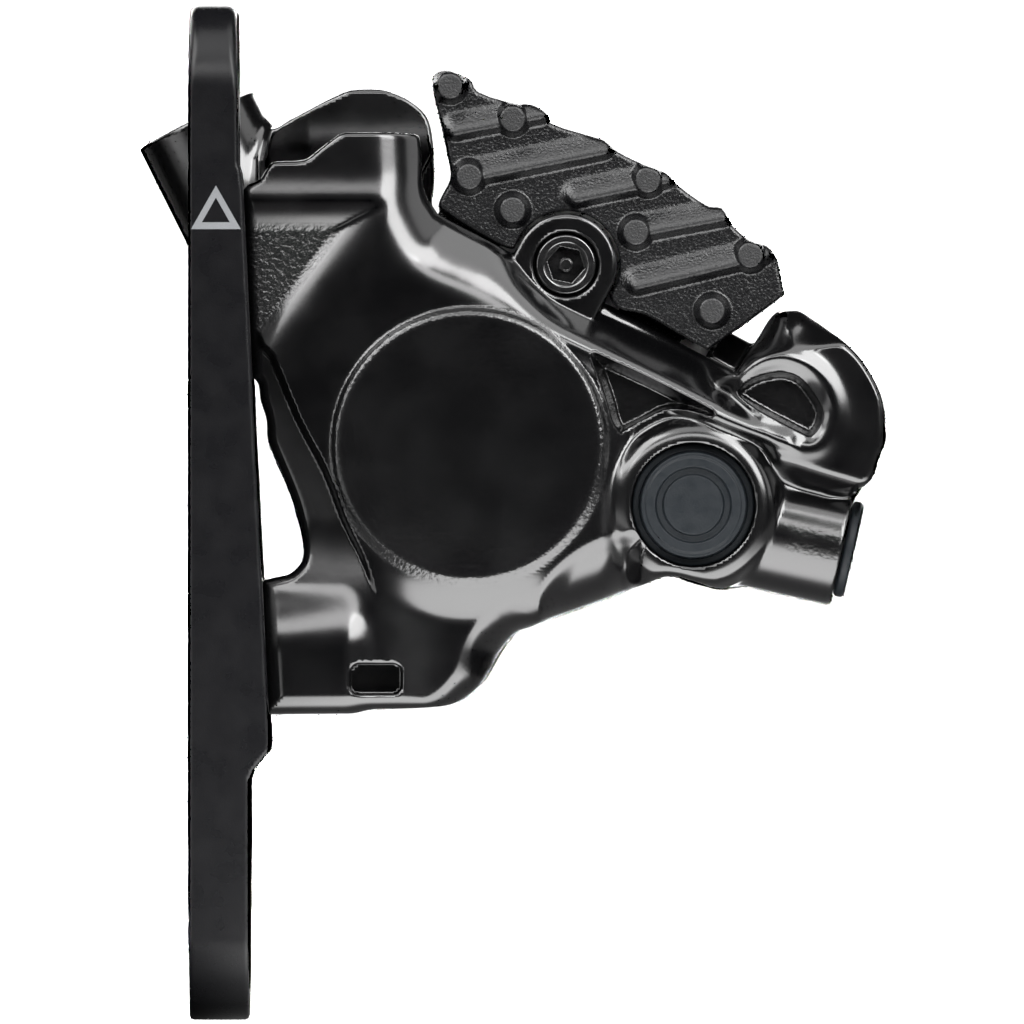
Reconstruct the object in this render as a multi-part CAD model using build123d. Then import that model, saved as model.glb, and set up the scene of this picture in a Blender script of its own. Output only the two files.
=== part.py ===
from build123d import *
import math
import os

# Front flat-mount hydraulic disc brake caliper with finned pads, on its mounting plate.
# Millimetres. +Z is up along the fork leg, +X points away from the fork leg's back face,
# +Y points towards the wheel. The origin is the centre of the plate's fork side face.

# ---------------------------------------------------------------- driving dimensions
ROTOR_X, ROTOR_Z = -6.7, -54.8      # wheel axle, which the rotor turns about
ROTOR_PLANE_Y = 13.0                # middle plane of the rotor and of the two body halves
SLOT_R = 81.8                       # the rotor slot clears a 160 mm rotor
SLOT_HALF_W = 1.6
TILT = math.atan2(0.883, 0.469)     # direction from the axle to the pistons

PLATE_HALF_W = 9.5
PLATE_TOP, PLATE_BOTTOM = 46.5, -46.5
PLATE_END_R = 7.5
FORK_BOLT_Z = 35.0                  # fork bolts are 70 mm apart
FORK_SLOT_R, FORK_SLOT_TRAVEL = 2.75, 2.0
CALIPER_BOLT_Z = (21.9, -12.1)      # caliper bolts are 34 mm apart

FRONT_Y = -5.3                      # outboard face of the outboard half
DISC_Y = -6.2                       # raised disc over the outboard piston
DISC_R = 12.55
WALL_Y = 6.2                        # piston side wall of the outboard pad pocket
TAB_WALL_Y = 5.4
PISTON_R, BORE_R, SEAL_R, GROOVE_R = 10.97, 11.03, 10.99, 12.9
PISTON_AT = 68.9                    # radius of the piston axis from the wheel axle
AXLE_AT = 87.8                      # radius of the pad axle from the wheel axle
AXLE_R = 2.0
POCKET_HALF_W = 14.6
WINDOW_HALF_W = 15.7
TOP_R = 86.4                        # the body's outer edge under the fins
HOUSING_R = 14.6

PAD_BACK_Y, PAD_INNER_Y, LINING_Y = 7.55, 9.35, 11.55
FIN_FRONT_Y, FIN_BACK_Y = -0.5, 2.5

BODY_BOLTS = ((16.5, 30.0), (57.5, 11.5))
BODY_BOLT_R = 3.0
CROSSOVER = (56.5, 4.0)
BLEED_X, BLEED_Z = 46.15, 0.69
NIPPLE_END = (59.85, 1.0, -3.25)
NIPPLE_DIR = Vector(0.9763, 0.0, -0.2164)
NIPPLE_BOSS_R = 5.4
HOSE_MOUTH = (0.43, 20.5, 36.41)
HOSE_DIR = Vector(-0.4472, 0.0, 0.8944)
HOSE_BOSS_R = 5.9
HOSE_PORT_R, HOSE_PORT_DEPTH = 3.65, 9.0

os.makedirs("parts", exist_ok=True)

# ---------------------------------------------------------------- helpers
ER = (math.cos(TILT), math.sin(TILT))
ET = (ER[1], -ER[0])


def ur(u, r):
    """Point of the X-Z plane at radius r from the wheel axle, u along the tangent."""
    return (
        ROTOR_X + u * ET[0] + r * ER[0],
        ROTOR_Z + u * ET[1] + r * ER[1],
    )


def mirror_y(y):
    return 2 * ROTOR_PLANE_Y - y


def prism(points, y0, y1):
    """Closed outline in X-Z, extruded along Y."""
    wire = Wire.make_polygon([Vector(x, y0, z) for x, z in points], close=True)
    return Solid.extrude(Face(wire), Vector(0, y1 - y0, 0))


def ur_prism(points, y0, y1):
    return prism([ur(u, r) for u, r in points], y0, y1)


def cyl(p, d, r, length):
    return Solid.make_cylinder(r, length, Plane(origin=Vector(*p), z_dir=Vector(*d)))


def cone(p, d, r0, r1, length):
    return Solid.make_cone(r0, r1, length, Plane(origin=Vector(*p), z_dir=Vector(*d)))


def ring(p, d, r_in, r_out, length):
    return one(cyl(p, d, r_out, length) - cyl(p, d, r_in, length))


def torus(p, d, major, minor):
    return Solid.make_torus(major, minor, Plane(origin=Vector(*p), z_dir=Vector(*d)))


def along(p, d, t):
    return (p[0] + d.X * t, p[1] + d.Y * t, p[2] + d.Z * t)


def between(p, q, r):
    """Straight drilling from p to q."""
    v = Vector(*q) - Vector(*p)
    return cyl(p, (v.X, v.Y, v.Z), r, v.length)


def hexagon(p, d, across_flats, depth, turn=0.0):
    """Hexagonal socket prism."""
    plane = Plane(origin=Vector(*p), z_dir=Vector(*d))
    rad = across_flats / math.sqrt(3)
    pts = [
        plane.from_local_coords(
            Vector(rad * math.cos(turn + k * math.pi / 3), rad * math.sin(turn + k * math.pi / 3), 0)
        )
        for k in range(6)
    ]
    wire = Wire.make_polygon(pts, close=True)
    return Solid.extrude(Face(wire), Vector(*d).normalized() * depth)


def along_u(profile, u0, u1):
    """Closed outline in (r, Y), extruded along the tangent from u0 to u1."""
    pts = []
    for r, y in profile:
        x, z = ur(u0, r)
        pts.append(Vector(x, y, z))
    wire = Wire.make_polygon(pts, close=True)
    return Solid.extrude(Face(wire), Vector(ET[0], 0, ET[1]) * (u1 - u0))


def one(shape):
    """The largest solid of a boolean result."""
    found = list(shape.solids())
    found.sort(key=lambda s: s.volume)
    return found[-1]


def add(base, *others):
    out = base
    for other in others:
        out = out + other
    return one(out)


def sub(base, *others):
    out = base
    for other in others:
        out = out - other
    return one(out)


def mirrored(shape):
    """The same piece on the other side of the rotor plane."""
    return shape.mirror(Plane(origin=(0, ROTOR_PLANE_Y, 0), z_dir=(0, 1, 0)))


def soften(shape, radius, keep):
    """Round the edges that keep() picks, one by one where all at once isn't possible."""
    edges = [e for e in shape.edges() if keep(e)]
    try:
        out = shape.fillet(radius, edges)
        if out.is_valid:
            return one(out)
    except Exception:
        pass
    return shape


def save(name, shapes):
    if not isinstance(shapes, (list, tuple)):
        shapes = [shapes]
    body = shapes[0] if len(shapes) == 1 else Compound(children=list(shapes))
    export_step(body, "parts/" + name + ".step")


def wedge_x(z):
    """The plate's caliper side face, which leans by 2.8 degrees."""
    return 4.95 + (29.6 - z) * 0.048723


WEDGE_N = Vector(math.cos(math.atan(0.048723)), 0, math.sin(math.atan(0.048723)))
PISTON = ur(0, PISTON_AT)
AXLE = ur(0, AXLE_AT)
Y = (0, 1, 0)

# ---------------------------------------------------------------- mounting plate
plate_side = [
    (0, 45.9),
    (0.6, 46.5),
    (3.8, 46.5),
    (4.4, 45.9),
    (4.54, 31.9),
    (4.75, 31.2),
    (wedge_x(29.6), 29.6),
    (wedge_x(-20.9), -20.9),
    (7.3, -21.8),
    (6.6, -22.7),
    (5.87, -23.6),
    (5.5, -24.5),
    (5.5, -46.2),
    (5.2, -46.5),
    (0.3, -46.5),
    (0, -46.2),
]
plate = prism(plate_side, -PLATE_HALF_W, PLATE_HALF_W)
for z_end, s in ((PLATE_TOP, 1), (PLATE_BOTTOM, -1)):
    for side in (-1, 1):
        cy, cz = side * (PLATE_HALF_W - PLATE_END_R), z_end - s * PLATE_END_R
        corner = Solid.extrude(
            Face(
                Wire.make_polygon(
                    [
                        Vector(-5, cy, cz),
                        Vector(-5, cy + side * 20, cz),
                        Vector(-5, cy + side * 20, cz + s * 20),
                        Vector(-5, cy, cz + s * 20),
                    ]
                )
            ),
            Vector(20, 0, 0),
        )
        corner = sub(corner, cyl((-6, cy, cz), (1, 0, 0), PLATE_END_R, 24))
        plate = sub(plate, corner)


def y_slot(x0, x1, z, r, travel):
    """Slot through the plate, long in Y."""
    mid = Solid.extrude(
        Face(
            Wire.make_polygon(
                [
                    Vector(x0, -travel, z - r),
                    Vector(x0, travel, z - r),
                    Vector(x0, travel, z + r),
                    Vector(x0, -travel, z + r),
                ]
            )
        ),
        Vector(x1 - x0, 0, 0),
    )
    return add(
        mid,
        cyl((x0, -travel, z), (1, 0, 0), r, x1 - x0),
        cyl((x0, travel, z), (1, 0, 0), r, x1 - x0),
    )


for z, seat_x in ((FORK_BOLT_Z, 2.6), (-FORK_BOLT_Z, 3.5)):
    plate = sub(
        plate,
        y_slot(-1, 9, z, FORK_SLOT_R, FORK_SLOT_TRAVEL),
        y_slot(seat_x, 12, z, 4.6, FORK_SLOT_TRAVEL),
    )

# caliper bolt holes, with their heads sunk below the fork side face
bolt_start = []
for z in CALIPER_BOLT_Z:
    mouth = Vector(wedge_x(z), 0, z)
    start = mouth - WEDGE_N * (wedge_x(z) - 0.35)
    bolt_start.append(start)
    plate = sub(
        plate,
        cyl((start - WEDGE_N * 3), WEDGE_N, 4.5, 3 + 2.5),
        cyl((start - WEDGE_N * 3), WEDGE_N, 2.7, 20),
    )
save("mount_plate", plate)

caliper_bolts = []
for start in bolt_start:
    n = WEDGE_N
    bolt = add(cyl(start, n, 4.25, 2.5), cyl((start + WEDGE_N * 2.5), n, 2.5, 13.4))
    bolt = sub(bolt, hexagon(start, n, 4.0, 1.9))
    caliper_bolts.append(bolt)
save("caliper_bolts", caliper_bolts)

# ---------------------------------------------------------------- outboard body half
right_end = [
    (54.6, 18.6),
    (55.96, 18.6),
    (57.3, 17.8),
    (58.7, 16.7),
    (60.1, 15.55),
    (61.5, 14.1),
    (62.8, 12.06),
    (63.5, 10.3),
    (63.67, 8.5),
    (63.67, 6.65),
    (63.0, 4.8),
    (62.4, 3.0),
    (61.0, 1.9),
]
outline = (
    [
        (wedge_x(29.6), 29.6),
        (5.4, 30.05),
        (6.4, 30.5),
        (7.1, 31.6),
        (7.7, 32.1),
        (10.55, 32.3),
        (12.0, 33.35),
        (13.7, 34.6),
        (14.3, 34.8),
        (20.5, 34.7),
        (21.1, 34.3),
        (21.3, 30.4),
        (21.7, 29.0),
        (22.5, 27.75),
        ur(-12.6, TOP_R),
        ur(18.4, TOP_R),
        (52.3, 16.3),
        (53.6, 18.2),
    ]
    + right_end
    + [
        (58.5, 1.0),
        (52.0, -5.0),
        (49.1, -7.0),
        (46.3, -6.4),
        (45.0, -6.0),
        (43.6, -5.9),
        (42.2, -6.4),
        (39.4, -7.5),
        (36.7, -8.5),
        (33.9, -9.5),
        (31.2, -10.5),
        (29.8, -11.15),
        (28.4, -13.0),
        (27.1, -15.3),
        (25.7, -16.7),
        (24.3, -17.5),
        (22.9, -17.8),
        (18.8, -18.0),
        (7.8, -18.1),
        (wedge_x(-18.1), -18.1),
        (wedge_x(-6.2), -6.2),
        (7.8, -5.9),
        (9.2, -5.55),
        (10.3, -4.36),
        (10.4, -2.5),
        (10.0, -0.7),
        (9.45, 1.15),
        (8.7, 3.0),
        (7.9, 4.8),
        (7.16, 6.65),
        (7.06, 8.5),
        (6.5, 10.3),
        (6.3, 11.8),
        (wedge_x(12.4), 12.4),
    ]
)

web = prism(outline, FRONT_Y, WALL_Y)
# the foot narrows to a round boss about its bolt
below = prism([(0, -8.4), (80, -8.4), (80, -30), (0, -30)], -30, 30)
foot_slab = prism(outline, -4.2, 4.2)
web = sub(web, below)
foot = one(foot_slab & below)
foot_round = cyl((wedge_x(-12.15), 0, -12.15), WEDGE_N, 5.95, 15.5)

left_tower = [
    ur(-45, 120),
    ur(-WINDOW_HALF_W, 120),
    ur(-WINDOW_HALF_W, 62),
    ur(-28, 62),
    ur(-45, 66),
]
right_tower = [
    ur(WINDOW_HALF_W, 120),
    ur(60, 120),
    ur(60, 78),
    ur(33, 74),
    ur(22, 64),
    ur(WINDOW_HALF_W, 60),
]
towers = one(prism(outline, WALL_Y - 0.4, ROTOR_PLANE_Y) & prism(left_tower, WALL_Y - 0.4, ROTOR_PLANE_Y))
tower_r = one(prism(outline, WALL_Y - 0.4, ROTOR_PLANE_Y) & prism(right_tower, WALL_Y - 0.4, ROTOR_PLANE_Y))
bridge_behind_fins = ur_prism([(WINDOW_HALF_W, 84), (22, 84), (24, 88.6), (WINDOW_HALF_W, 89.6)], 4.6, ROTOR_PLANE_Y)
window_end_ledge = ur_prism([(14.5, 85.4), (16.2, 85.4), (16.2, 89.3), (14.5, 88.9)], 11.6, ROTOR_PLANE_Y)
outboard = add(
    web,
    foot,
    foot_round,
    towers,
    tower_r,
    bridge_behind_fins,
    cyl((PISTON[0], DISC_Y, PISTON[1]), Y, DISC_R, 3),
    cyl((PISTON[0], FRONT_Y, PISTON[1]), Y, HOUSING_R, WALL_Y - FRONT_Y),
    cyl(along(NIPPLE_END, NIPPLE_DIR, -13.5), NIPPLE_DIR, NIPPLE_BOSS_R, 13.5),
    cyl((BLEED_X, -4.6, BLEED_Z), Y, 6.9, 9.6),
)
# sloping top edge along the fins
outboard = sub(
    outboard,
    along_u([(82.6, -8), (97, -8), (97, 0.6), (TOP_R - 0.0, 0.6), (82.6, FRONT_Y)], -12.9, 17.2),
)
outboard = add(
    outboard,
    cyl((AXLE[0], -1.5, AXLE[1]), Y, 4.7, TAB_WALL_Y + 1.5),
    ur_prism([(-4.7, 80), (4.7, 80), (4.7, AXLE_AT), (-4.7, AXLE_AT)], -1.5, TAB_WALL_Y),
)
# pad pocket, pad window and rotor slot
pocket = ur_prism(
    [(-POCKET_HALF_W, 30), (POCKET_HALF_W, 30), (POCKET_HALF_W, 81.2), (-POCKET_HALF_W, 81.2)],
    WALL_Y,
    ROTOR_PLANE_Y + 1,
)
window = ur_prism(
    [(-WINDOW_HALF_W, 81.0), (WINDOW_HALF_W, 81.0), (WINDOW_HALF_W, 130), (-WINDOW_HALF_W, 130)],
    TAB_WALL_Y,
    ROTOR_PLANE_Y + 1,
)
rotor_slot = cyl((ROTOR_X, ROTOR_PLANE_Y - SLOT_HALF_W, ROTOR_Z), Y, SLOT_R, SLOT_HALF_W + 1)
outboard = sub(outboard, pocket, window, rotor_slot)
outboard = add(outboard, window_end_ledge)
# piston bore, seal groove and fluid chamber
outboard = sub(
    outboard,
    cyl((PISTON[0], -2.6, PISTON[1]), Y, BORE_R, 12),
    cyl((PISTON[0], 2.2, PISTON[1]), Y, GROOVE_R, 2.2),
)
# threads for the caliper bolts
for z in CALIPER_BOLT_Z:
    outboard = sub(outboard, cyl((wedge_x(z) - 1, 0, z - 0.0487), WEDGE_N, 2.52, 13.2))
# threads for the body bolts, crossover drilling and fluid passages
for x, z in BODY_BOLTS:
    outboard = sub(outboard, cyl((x, 1.4, z), Y, BODY_BOLT_R + 0.02, 14))
outboard = sub(
    outboard,
    cyl((CROSSOVER[0], 5.2, CROSSOVER[1]), Y, 1.1, 10),
    between((CROSSOVER[0], 5.8, CROSSOVER[1]), (BLEED_X, 4.0, BLEED_Z), 0.8),
    between((PISTON[0] + 8.5, -1.9, PISTON[1] - 2.2), (BLEED_X, 4.0, BLEED_Z), 0.8),
)
# bleed screw port
outboard = sub(
    outboard,
    cyl((BLEED_X, -8, BLEED_Z), Y, 5.66, 4.6),
    cyl((BLEED_X, -4, BLEED_Z), Y, 3.05, 6.1),
    cyl((BLEED_X, 2.0, BLEED_Z), Y, 1.2, 2.6),
)
# nipple port, sunk in the end of its boss
outboard = sub(
    outboard,
    cyl(along(NIPPLE_END, NIPPLE_DIR, -5.2), NIPPLE_DIR, 3.9, 8),
    cyl(along(NIPPLE_END, NIPPLE_DIR, -9.2), NIPPLE_DIR, 2.52, 6),
    cyl(along(NIPPLE_END, NIPPLE_DIR, -11.6), NIPPLE_DIR, 0.8, 4),
)
# pad axle hole with its head seat
outboard = sub(
    outboard,
    cyl((AXLE[0], -3, AXLE[1]), Y, AXLE_R + 0.05, 12),
    cyl((AXLE[0], -3, AXLE[1]), Y, 3.0, 2.7),
)
# cast recesses: the triangle by the upper foot, the hollow of the corner and the foot's slot
outboard = sub(
    outboard,
    prism([(5.9, 25.9), (15.0, 26.2), (6.6, 16.4), (6.0, 18.5)], FRONT_Y - 1, FRONT_Y + 2.4),
    prism([(49.9, 11.0), (54.6, 12.8), (56.7, 11.4), (57.6, 9.9), (55.9, 7.6)], FRONT_Y - 1, FRONT_Y + 2.4),
    prism([(14.9, -13.9), (19.4, -13.9), (19.4, -16.6), (14.9, -16.6)], FRONT_Y - 1, -3.2),
)
save("caliper_body_outboard", outboard)

# ---------------------------------------------------------------- inboard body half
arc = [
    (
        PISTON[0] + (HOUSING_R - 0.8) * math.cos(math.radians(a)),
        PISTON[1] + (HOUSING_R - 0.8) * math.sin(math.radians(a)),
    )
    for a in (-40, -60, -80, -100, -120, -140, -160, -180, -195)
]
inboard_outline = (
    [
        (6.6, 32.6),
        (7.25, 35.3),
        (7.8, 35.5),
        (9.2, 36.3),
        (10.55, 37.0),
        (11.9, 37.75),
        (13.3, 38.4),
        (14.7, 38.95),
        (17.4, 39.0),
        (18.8, 38.6),
        (20.2, 37.9),
        (21.6, 36.6),
        (22.1, 35.1),
        (22.3, 32.3),
        (22.3, 30.5),
        (22.1, 28.8),
        (22.5, 27.6),
        ur(-12.6, TOP_R),
        ur(18.4, TOP_R),
        (52.3, 16.3),
        (53.6, 18.2),
    ]
    + right_end
    + [(58.0, 0.3), (50.5, -1.6)]
    + arc
    + [(8.8, 19.0), (7.0, 27.0)]
)
IN_FACE = mirror_y(FRONT_Y)
IN_WALL = mirror_y(WALL_Y)
inboard = add(
    prism(inboard_outline, ROTOR_PLANE_Y, IN_FACE - 1.2),
    cyl((PISTON[0], IN_WALL, PISTON[1]), Y, HOUSING_R, IN_FACE - IN_WALL),
    cyl((PISTON[0], IN_WALL, PISTON[1]), Y, DISC_R, mirror_y(DISC_Y) - IN_WALL),
)
inboard = add(inboard, cyl(HOSE_MOUTH, (-HOSE_DIR), HOSE_BOSS_R, 15.0))
inboard = sub(
    inboard,
    along_u(
        [(82.6, 34), (97, 34), (97, mirror_y(0.6)), (TOP_R, mirror_y(0.6)), (82.6, IN_FACE)],
        -12.9,
        17.2,
    ),
)
inboard = add(
    inboard,
    mirrored(
        add(
            cyl((AXLE[0], -1.5, AXLE[1]), Y, 4.7, TAB_WALL_Y + 1.5),
            ur_prism([(-4.7, 80), (4.7, 80), (4.7, AXLE_AT), (-4.7, AXLE_AT)], -1.5, TAB_WALL_Y),
        )
    ),
    mirrored(bridge_behind_fins),
)
inboard = sub(
    inboard,
    mirrored(pocket),
    mirrored(window),
    cyl((ROTOR_X, ROTOR_PLANE_Y - 1, ROTOR_Z), Y, SLOT_R, SLOT_HALF_W + 1),
    # the arms below the pistons end at the rotor's side of the housing
    ur_prism([(-60, 20), (-16, 20), (-16, 57), (-60, 62)], 5, 40),
)
inboard = add(inboard, mirrored(window_end_ledge))
inboard = sub(
    inboard,
    cyl((PISTON[0], mirror_y(-2.6) - 12, PISTON[1]), Y, BORE_R, 12),
    cyl((PISTON[0], mirror_y(2.2) - 2.2, PISTON[1]), Y, GROOVE_R, 2.2),
)
for x, z in BODY_BOLTS:
    inboard = sub(
        inboard,
        cyl((x, 12, z), Y, BODY_BOLT_R + 0.25, 20),
        cyl((x, 27.0, z), Y, 5.3, 10),
    )
inboard = sub(
    inboard,
    cyl((CROSSOVER[0], 12, CROSSOVER[1]), Y, 1.1, 10.2),
    ring((CROSSOVER[0], ROTOR_PLANE_Y - 1, CROSSOVER[1]), Y, 1.55, 3.05, 2.4),
    between((CROSSOVER[0], 21.6, CROSSOVER[1]), (PISTON[0] + 8.0, mirror_y(-1.9), PISTON[1] - 2.0), 0.8),
    cyl(along(HOSE_MOUTH, HOSE_DIR, -HOSE_PORT_DEPTH), HOSE_DIR, HOSE_PORT_R, 20),
    between(
        along(HOSE_MOUTH, HOSE_DIR, -HOSE_PORT_DEPTH + 0.5),
        (PISTON[0] - 7.6, mirror_y(-1.9), PISTON[1] + 4.0),
        0.9,
    ),
    cyl((AXLE[0], 10, AXLE[1]), Y, AXLE_R + 0.02, 30),
)
save("caliper_body_inboard", inboard)

# ---------------------------------------------------------------- seals, pistons
for name, y0 in (("outboard_piston_seal", 2.2), ("inboard_piston_seal", mirror_y(4.4))):
    save(name, ring((PISTON[0], y0, PISTON[1]), Y, SEAL_R, GROOVE_R - 0.02, 2.2))

piston = cyl((PISTON[0], -1.5, PISTON[1]), Y, PISTON_R, 9.0)
piston = sub(piston, cyl((PISTON[0], 1.2, PISTON[1]), Y, 8.2, 12))
piston = piston.chamfer(0.5, None, [e for e in piston.edges() if abs(e.center().Y + 1.5) < 0.3])
piston = one(piston)
save("outboard_piston", piston)
save("inboard_piston", mirrored(piston))

# ---------------------------------------------------------------- pads
backplate = ur_prism(
    [
        (-10.6, 57.3),
        (10.6, 57.3),
        (14.3, 62.4),
        (14.3, 81.5),
        (15.3, 81.5),
        (15.3, 88.3),
        (-12.2, 88.3),
        (-12.6, 86.2),
        (-15.3, 86.2),
        (-15.3, 81.5),
        (-14.3, 81.5),
        (-14.3, 62.4),
    ],
    PAD_BACK_Y,
    PAD_INNER_Y,
)
backplate = add(backplate, cyl((AXLE[0], PAD_BACK_Y, AXLE[1]), Y, 6.3, PAD_INNER_Y - PAD_BACK_Y))
backplate = sub(backplate, cyl((AXLE[0], 0, AXLE[1]), Y, AXLE_R + 0.1, 20))
rivet_at = [ur(u, 84.1) for u in (-9.4, 9.4)]
for x, z in rivet_at:
    backplate = sub(backplate, cyl((x, 0, z), Y, 1.2, 20))
backplate = soften(
    backplate,
    0.4,
    lambda e: e.geom_type == GeomType.LINE
    and abs(e.length - (PAD_INNER_Y - PAD_BACK_Y)) < 0.01
    and math.hypot(e.center().X - AXLE[0], e.center().Z - AXLE[1]) > 7.5,
)
save("outboard_pad_backplate", backplate)
save("inboard_pad_backplate", mirrored(backplate))

top_arc = []
for k in range(9):
    u = 11.9 - k * 23.8 / 8
    top_arc.append((u, math.sqrt(79.0**2 - u * u)))
lining = ur_prism([(-9.6, 58.6), (9.6, 58.6), (11.9, 61.6)] + top_arc + [(-11.9, 61.6)], PAD_INNER_Y, LINING_Y)
save("outboard_pad_lining", lining)
save("inboard_pad_lining", mirrored(lining))

fin_outline = [
    (22.3, 40.0),
    (22.94, 40.5),
    (23.9, 40.5),
    (25.7, 39.7),
    (26.4, 38.6),
    (29.8, 37.5),
    (31.3, 37.4),
    (32.7, 36.6),
    (33.1, 35.7),
    (37.0, 34.45),
    (38.0, 34.1),
    (39.2, 33.1),
    (41.9, 31.8),
    (43.7, 31.1),
    (44.9, 29.9),
    (47.5, 28.1),
    (48.8, 27.9),
    (49.7, 26.4),
    (51.4, 24.9),
    (52.9, 24.45),
    (53.8, 23.3),
    (54.2, 21.5),
    (54.4, 20.4),
    (54.4, 19.95),
    (52.9, 18.76),
    (50.6, 17.1),
    (47.5, 14.9),
    (45.2, 16.2),
    (41.65, 18.2),
    (39.1, 18.85),
    (38.3, 20.8),
    (38.3, 23.3),
    (36.9, 25.6),
    (34.4, 26.3),
    (32.4, 25.4),
    (31.1, 24.45),
    (29.5, 24.2),
    (27.7, 24.9),
    (22.94, 27.9),
    (22.94, 28.7),
    (23.85, 30.5),
    (23.8, 32.1),
    (22.3, 39.0),
]
fin = prism(fin_outline, FIN_FRONT_Y, FIN_BACK_Y)
# clearance round the axle lug
fin = sub(fin, cyl((AXLE[0], -6, AXLE[1]), Y, 5.15, 20))


def rib(p, q, half, top):
    dx, dz = q[0] - p[0], q[1] - p[1]
    ln = math.hypot(dx, dz)
    nx, nz = -dz / ln * half, dx / ln * half
    return add(
        prism(
            [
                (p[0] + nx, p[1] + nz),
                (q[0] + nx, q[1] + nz),
                (q[0] - nx, q[1] - nz),
                (p[0] - nx, p[1] - nz),
            ],
            top,
            FIN_FRONT_Y + 0.5,
        ),
        cyl((p[0], top, p[1]), Y, half, FIN_FRONT_Y + 0.5 - top),
        cyl((q[0], top, q[1]), Y, half, FIN_FRONT_Y + 0.5 - top),
    )


ribs = [
    ((24.7, 35.1), (32.0, 36.5)),
    ((25.6, 30.8), (37.6, 33.2)),
    ((35.6, 28.95), (42.9, 30.5)),
    ((40.9, 25.7), (48.3, 27.0)),
    ((41.0, 20.96), (52.4, 23.6)),
]
bumps = [
    (23.85, 39.1),
    (29.6, 36.1),
    (25.6, 30.8),
    (29.6, 27.75),
    (42.0, 30.5),
    (40.9, 25.7),
    (51.4, 23.6),
    (47.9, 18.5),
]
fin = add(fin, *[rib(p, q, 0.95, -1.5) for p, q in ribs])
fin = add(fin, *[cyl((x, -1.8, z), Y, 1.24, 2.2) for x, z in bumps])
for side in (-1, 1):
    lo, hi = (6.2, 12.6) if side > 0 else (-12.6, -6.2)
    fin = add(
        fin,
        ur_prism([(lo, 87.2), (hi, 87.2), (hi, 89.2), (lo, 89.2)], FIN_BACK_Y - 1.0, PAD_BACK_Y),
        ur_prism([(lo, 82.4), (hi, 82.4), (hi, 89.2), (lo, 89.2)], PAD_BACK_Y - 1.1, PAD_BACK_Y),
    )
for x, z in rivet_at:
    fin = sub(fin, cyl((x, 5, z), Y, 1.2, 5))
save("outboard_pad_fin", fin)
save("inboard_pad_fin", mirrored(fin))

rivets = []
for x, z in rivet_at:
    rivets.append(
        add(
            cyl((x, PAD_BACK_Y - 1.1, z), Y, 1.2, 1.1 + PAD_INNER_Y - PAD_BACK_Y),
            cyl((x, PAD_BACK_Y - 1.6, z), Y, 1.9, 0.5),
        )
    )
save("outboard_fin_rivets", rivets)
save("inboard_fin_rivets", [mirrored(s) for s in rivets])

# ---------------------------------------------------------------- pad return spring
S0, S1 = PAD_INNER_Y + 0.05, PAD_INNER_Y + 0.45
spring = ur_prism([(-13.4, 84.2), (13.4, 84.2), (13.4, 84.6), (-13.4, 84.6)], S0, mirror_y(S0))
for lo, hi in ((-13.6, -12.6), (12.6, 13.6)):
    leg = ur_prism([(lo, 65.0), (hi, 65.0), (hi, 84.6), (lo, 84.6)], S0, S1)
    spring = add(spring, leg, mirrored(leg))
for lo, hi in ((-2.7, 2.7),):
    ear = ur_prism([(lo, 84.2), (hi, 84.2), (hi, 90.6), (lo, 90.6)], S0 + 0.8, S1 + 0.8)
    spring = add(spring, ear, mirrored(ear))
spring = sub(spring, cyl((AXLE[0], 5, AXLE[1]), Y, AXLE_R + 0.15, 20))
save("pad_return_spring", spring)

# ---------------------------------------------------------------- pad axle and its snap ring
axle = add(
    cyl((AXLE[0], -1.25, AXLE[1]), Y, 2.75, 0.95),
    cyl((AXLE[0], -0.4, AXLE[1]), Y, AXLE_R, 30.4),
)
axle = sub(
    axle,
    hexagon((AXLE[0], -1.25, AXLE[1]), Y, 3.0, 1.7, math.radians(12)),
    ring((AXLE[0], 28.2, AXLE[1]), Y, 1.6, 3.0, 0.5),
)
save("pad_axle", axle)
snap = ring((AXLE[0], 28.2, AXLE[1]), Y, 1.62, 3.1, 0.48)
snap = sub(
    snap,
    prism(
        [(AXLE[0], AXLE[1]), (AXLE[0] - 1.6, AXLE[1] + 4), (AXLE[0] + 1.6, AXLE[1] + 4)],
        28,
        29,
    ),
)
save("axle_snap_ring", snap)

# ---------------------------------------------------------------- body bolts and crossover seal
body_bolts = []
for x, z in BODY_BOLTS:
    b = add(cyl((x, 27.0, z), Y, 5.0, 4.6), cyl((x, 2.0, z), Y, BODY_BOLT_R, 25.5))
    body_bolts.append(sub(b, hexagon((x, 28.6, z), Y, 5.0, 4)))
save("body_bolts", body_bolts)
save("crossover_o_ring", torus((CROSSOVER[0], ROTOR_PLANE_Y + 0.7, CROSSOVER[1]), Y, 2.3, 0.68))

# ---------------------------------------------------------------- bleed screw, seal ring and cap
screw = add(
    cyl((BLEED_X, -3.3, BLEED_Z), Y, 3.0, 4.3),
    cone((BLEED_X, 1.0, BLEED_Z), Y, 3.0, 1.5, 0.95),
)
screw = sub(
    screw,
    hexagon((BLEED_X, -3.3, BLEED_Z), Y, 3.0, 2.0),
    ring((BLEED_X, -0.95, BLEED_Z), Y, 2.2, 3.2, 0.9),
)
save("bleed_screw", screw)
save("bleed_screw_seal", torus((BLEED_X, -0.5, BLEED_Z), Y, 2.58, 0.37))

cap = cyl((BLEED_X, -5.5, BLEED_Z), Y, 5.6, 2.0)
cap = sub(
    cap,
    ring((BLEED_X, -6, BLEED_Z), Y, 3.5, 4.4, 0.95),
    ring((BLEED_X, -6, BLEED_Z), Y, 2.75, 3.0, 0.8),
    cyl((BLEED_X, -4.3, BLEED_Z), Y, 3.3, 3),
)
save("bleed_screw_cap", cap)

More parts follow.
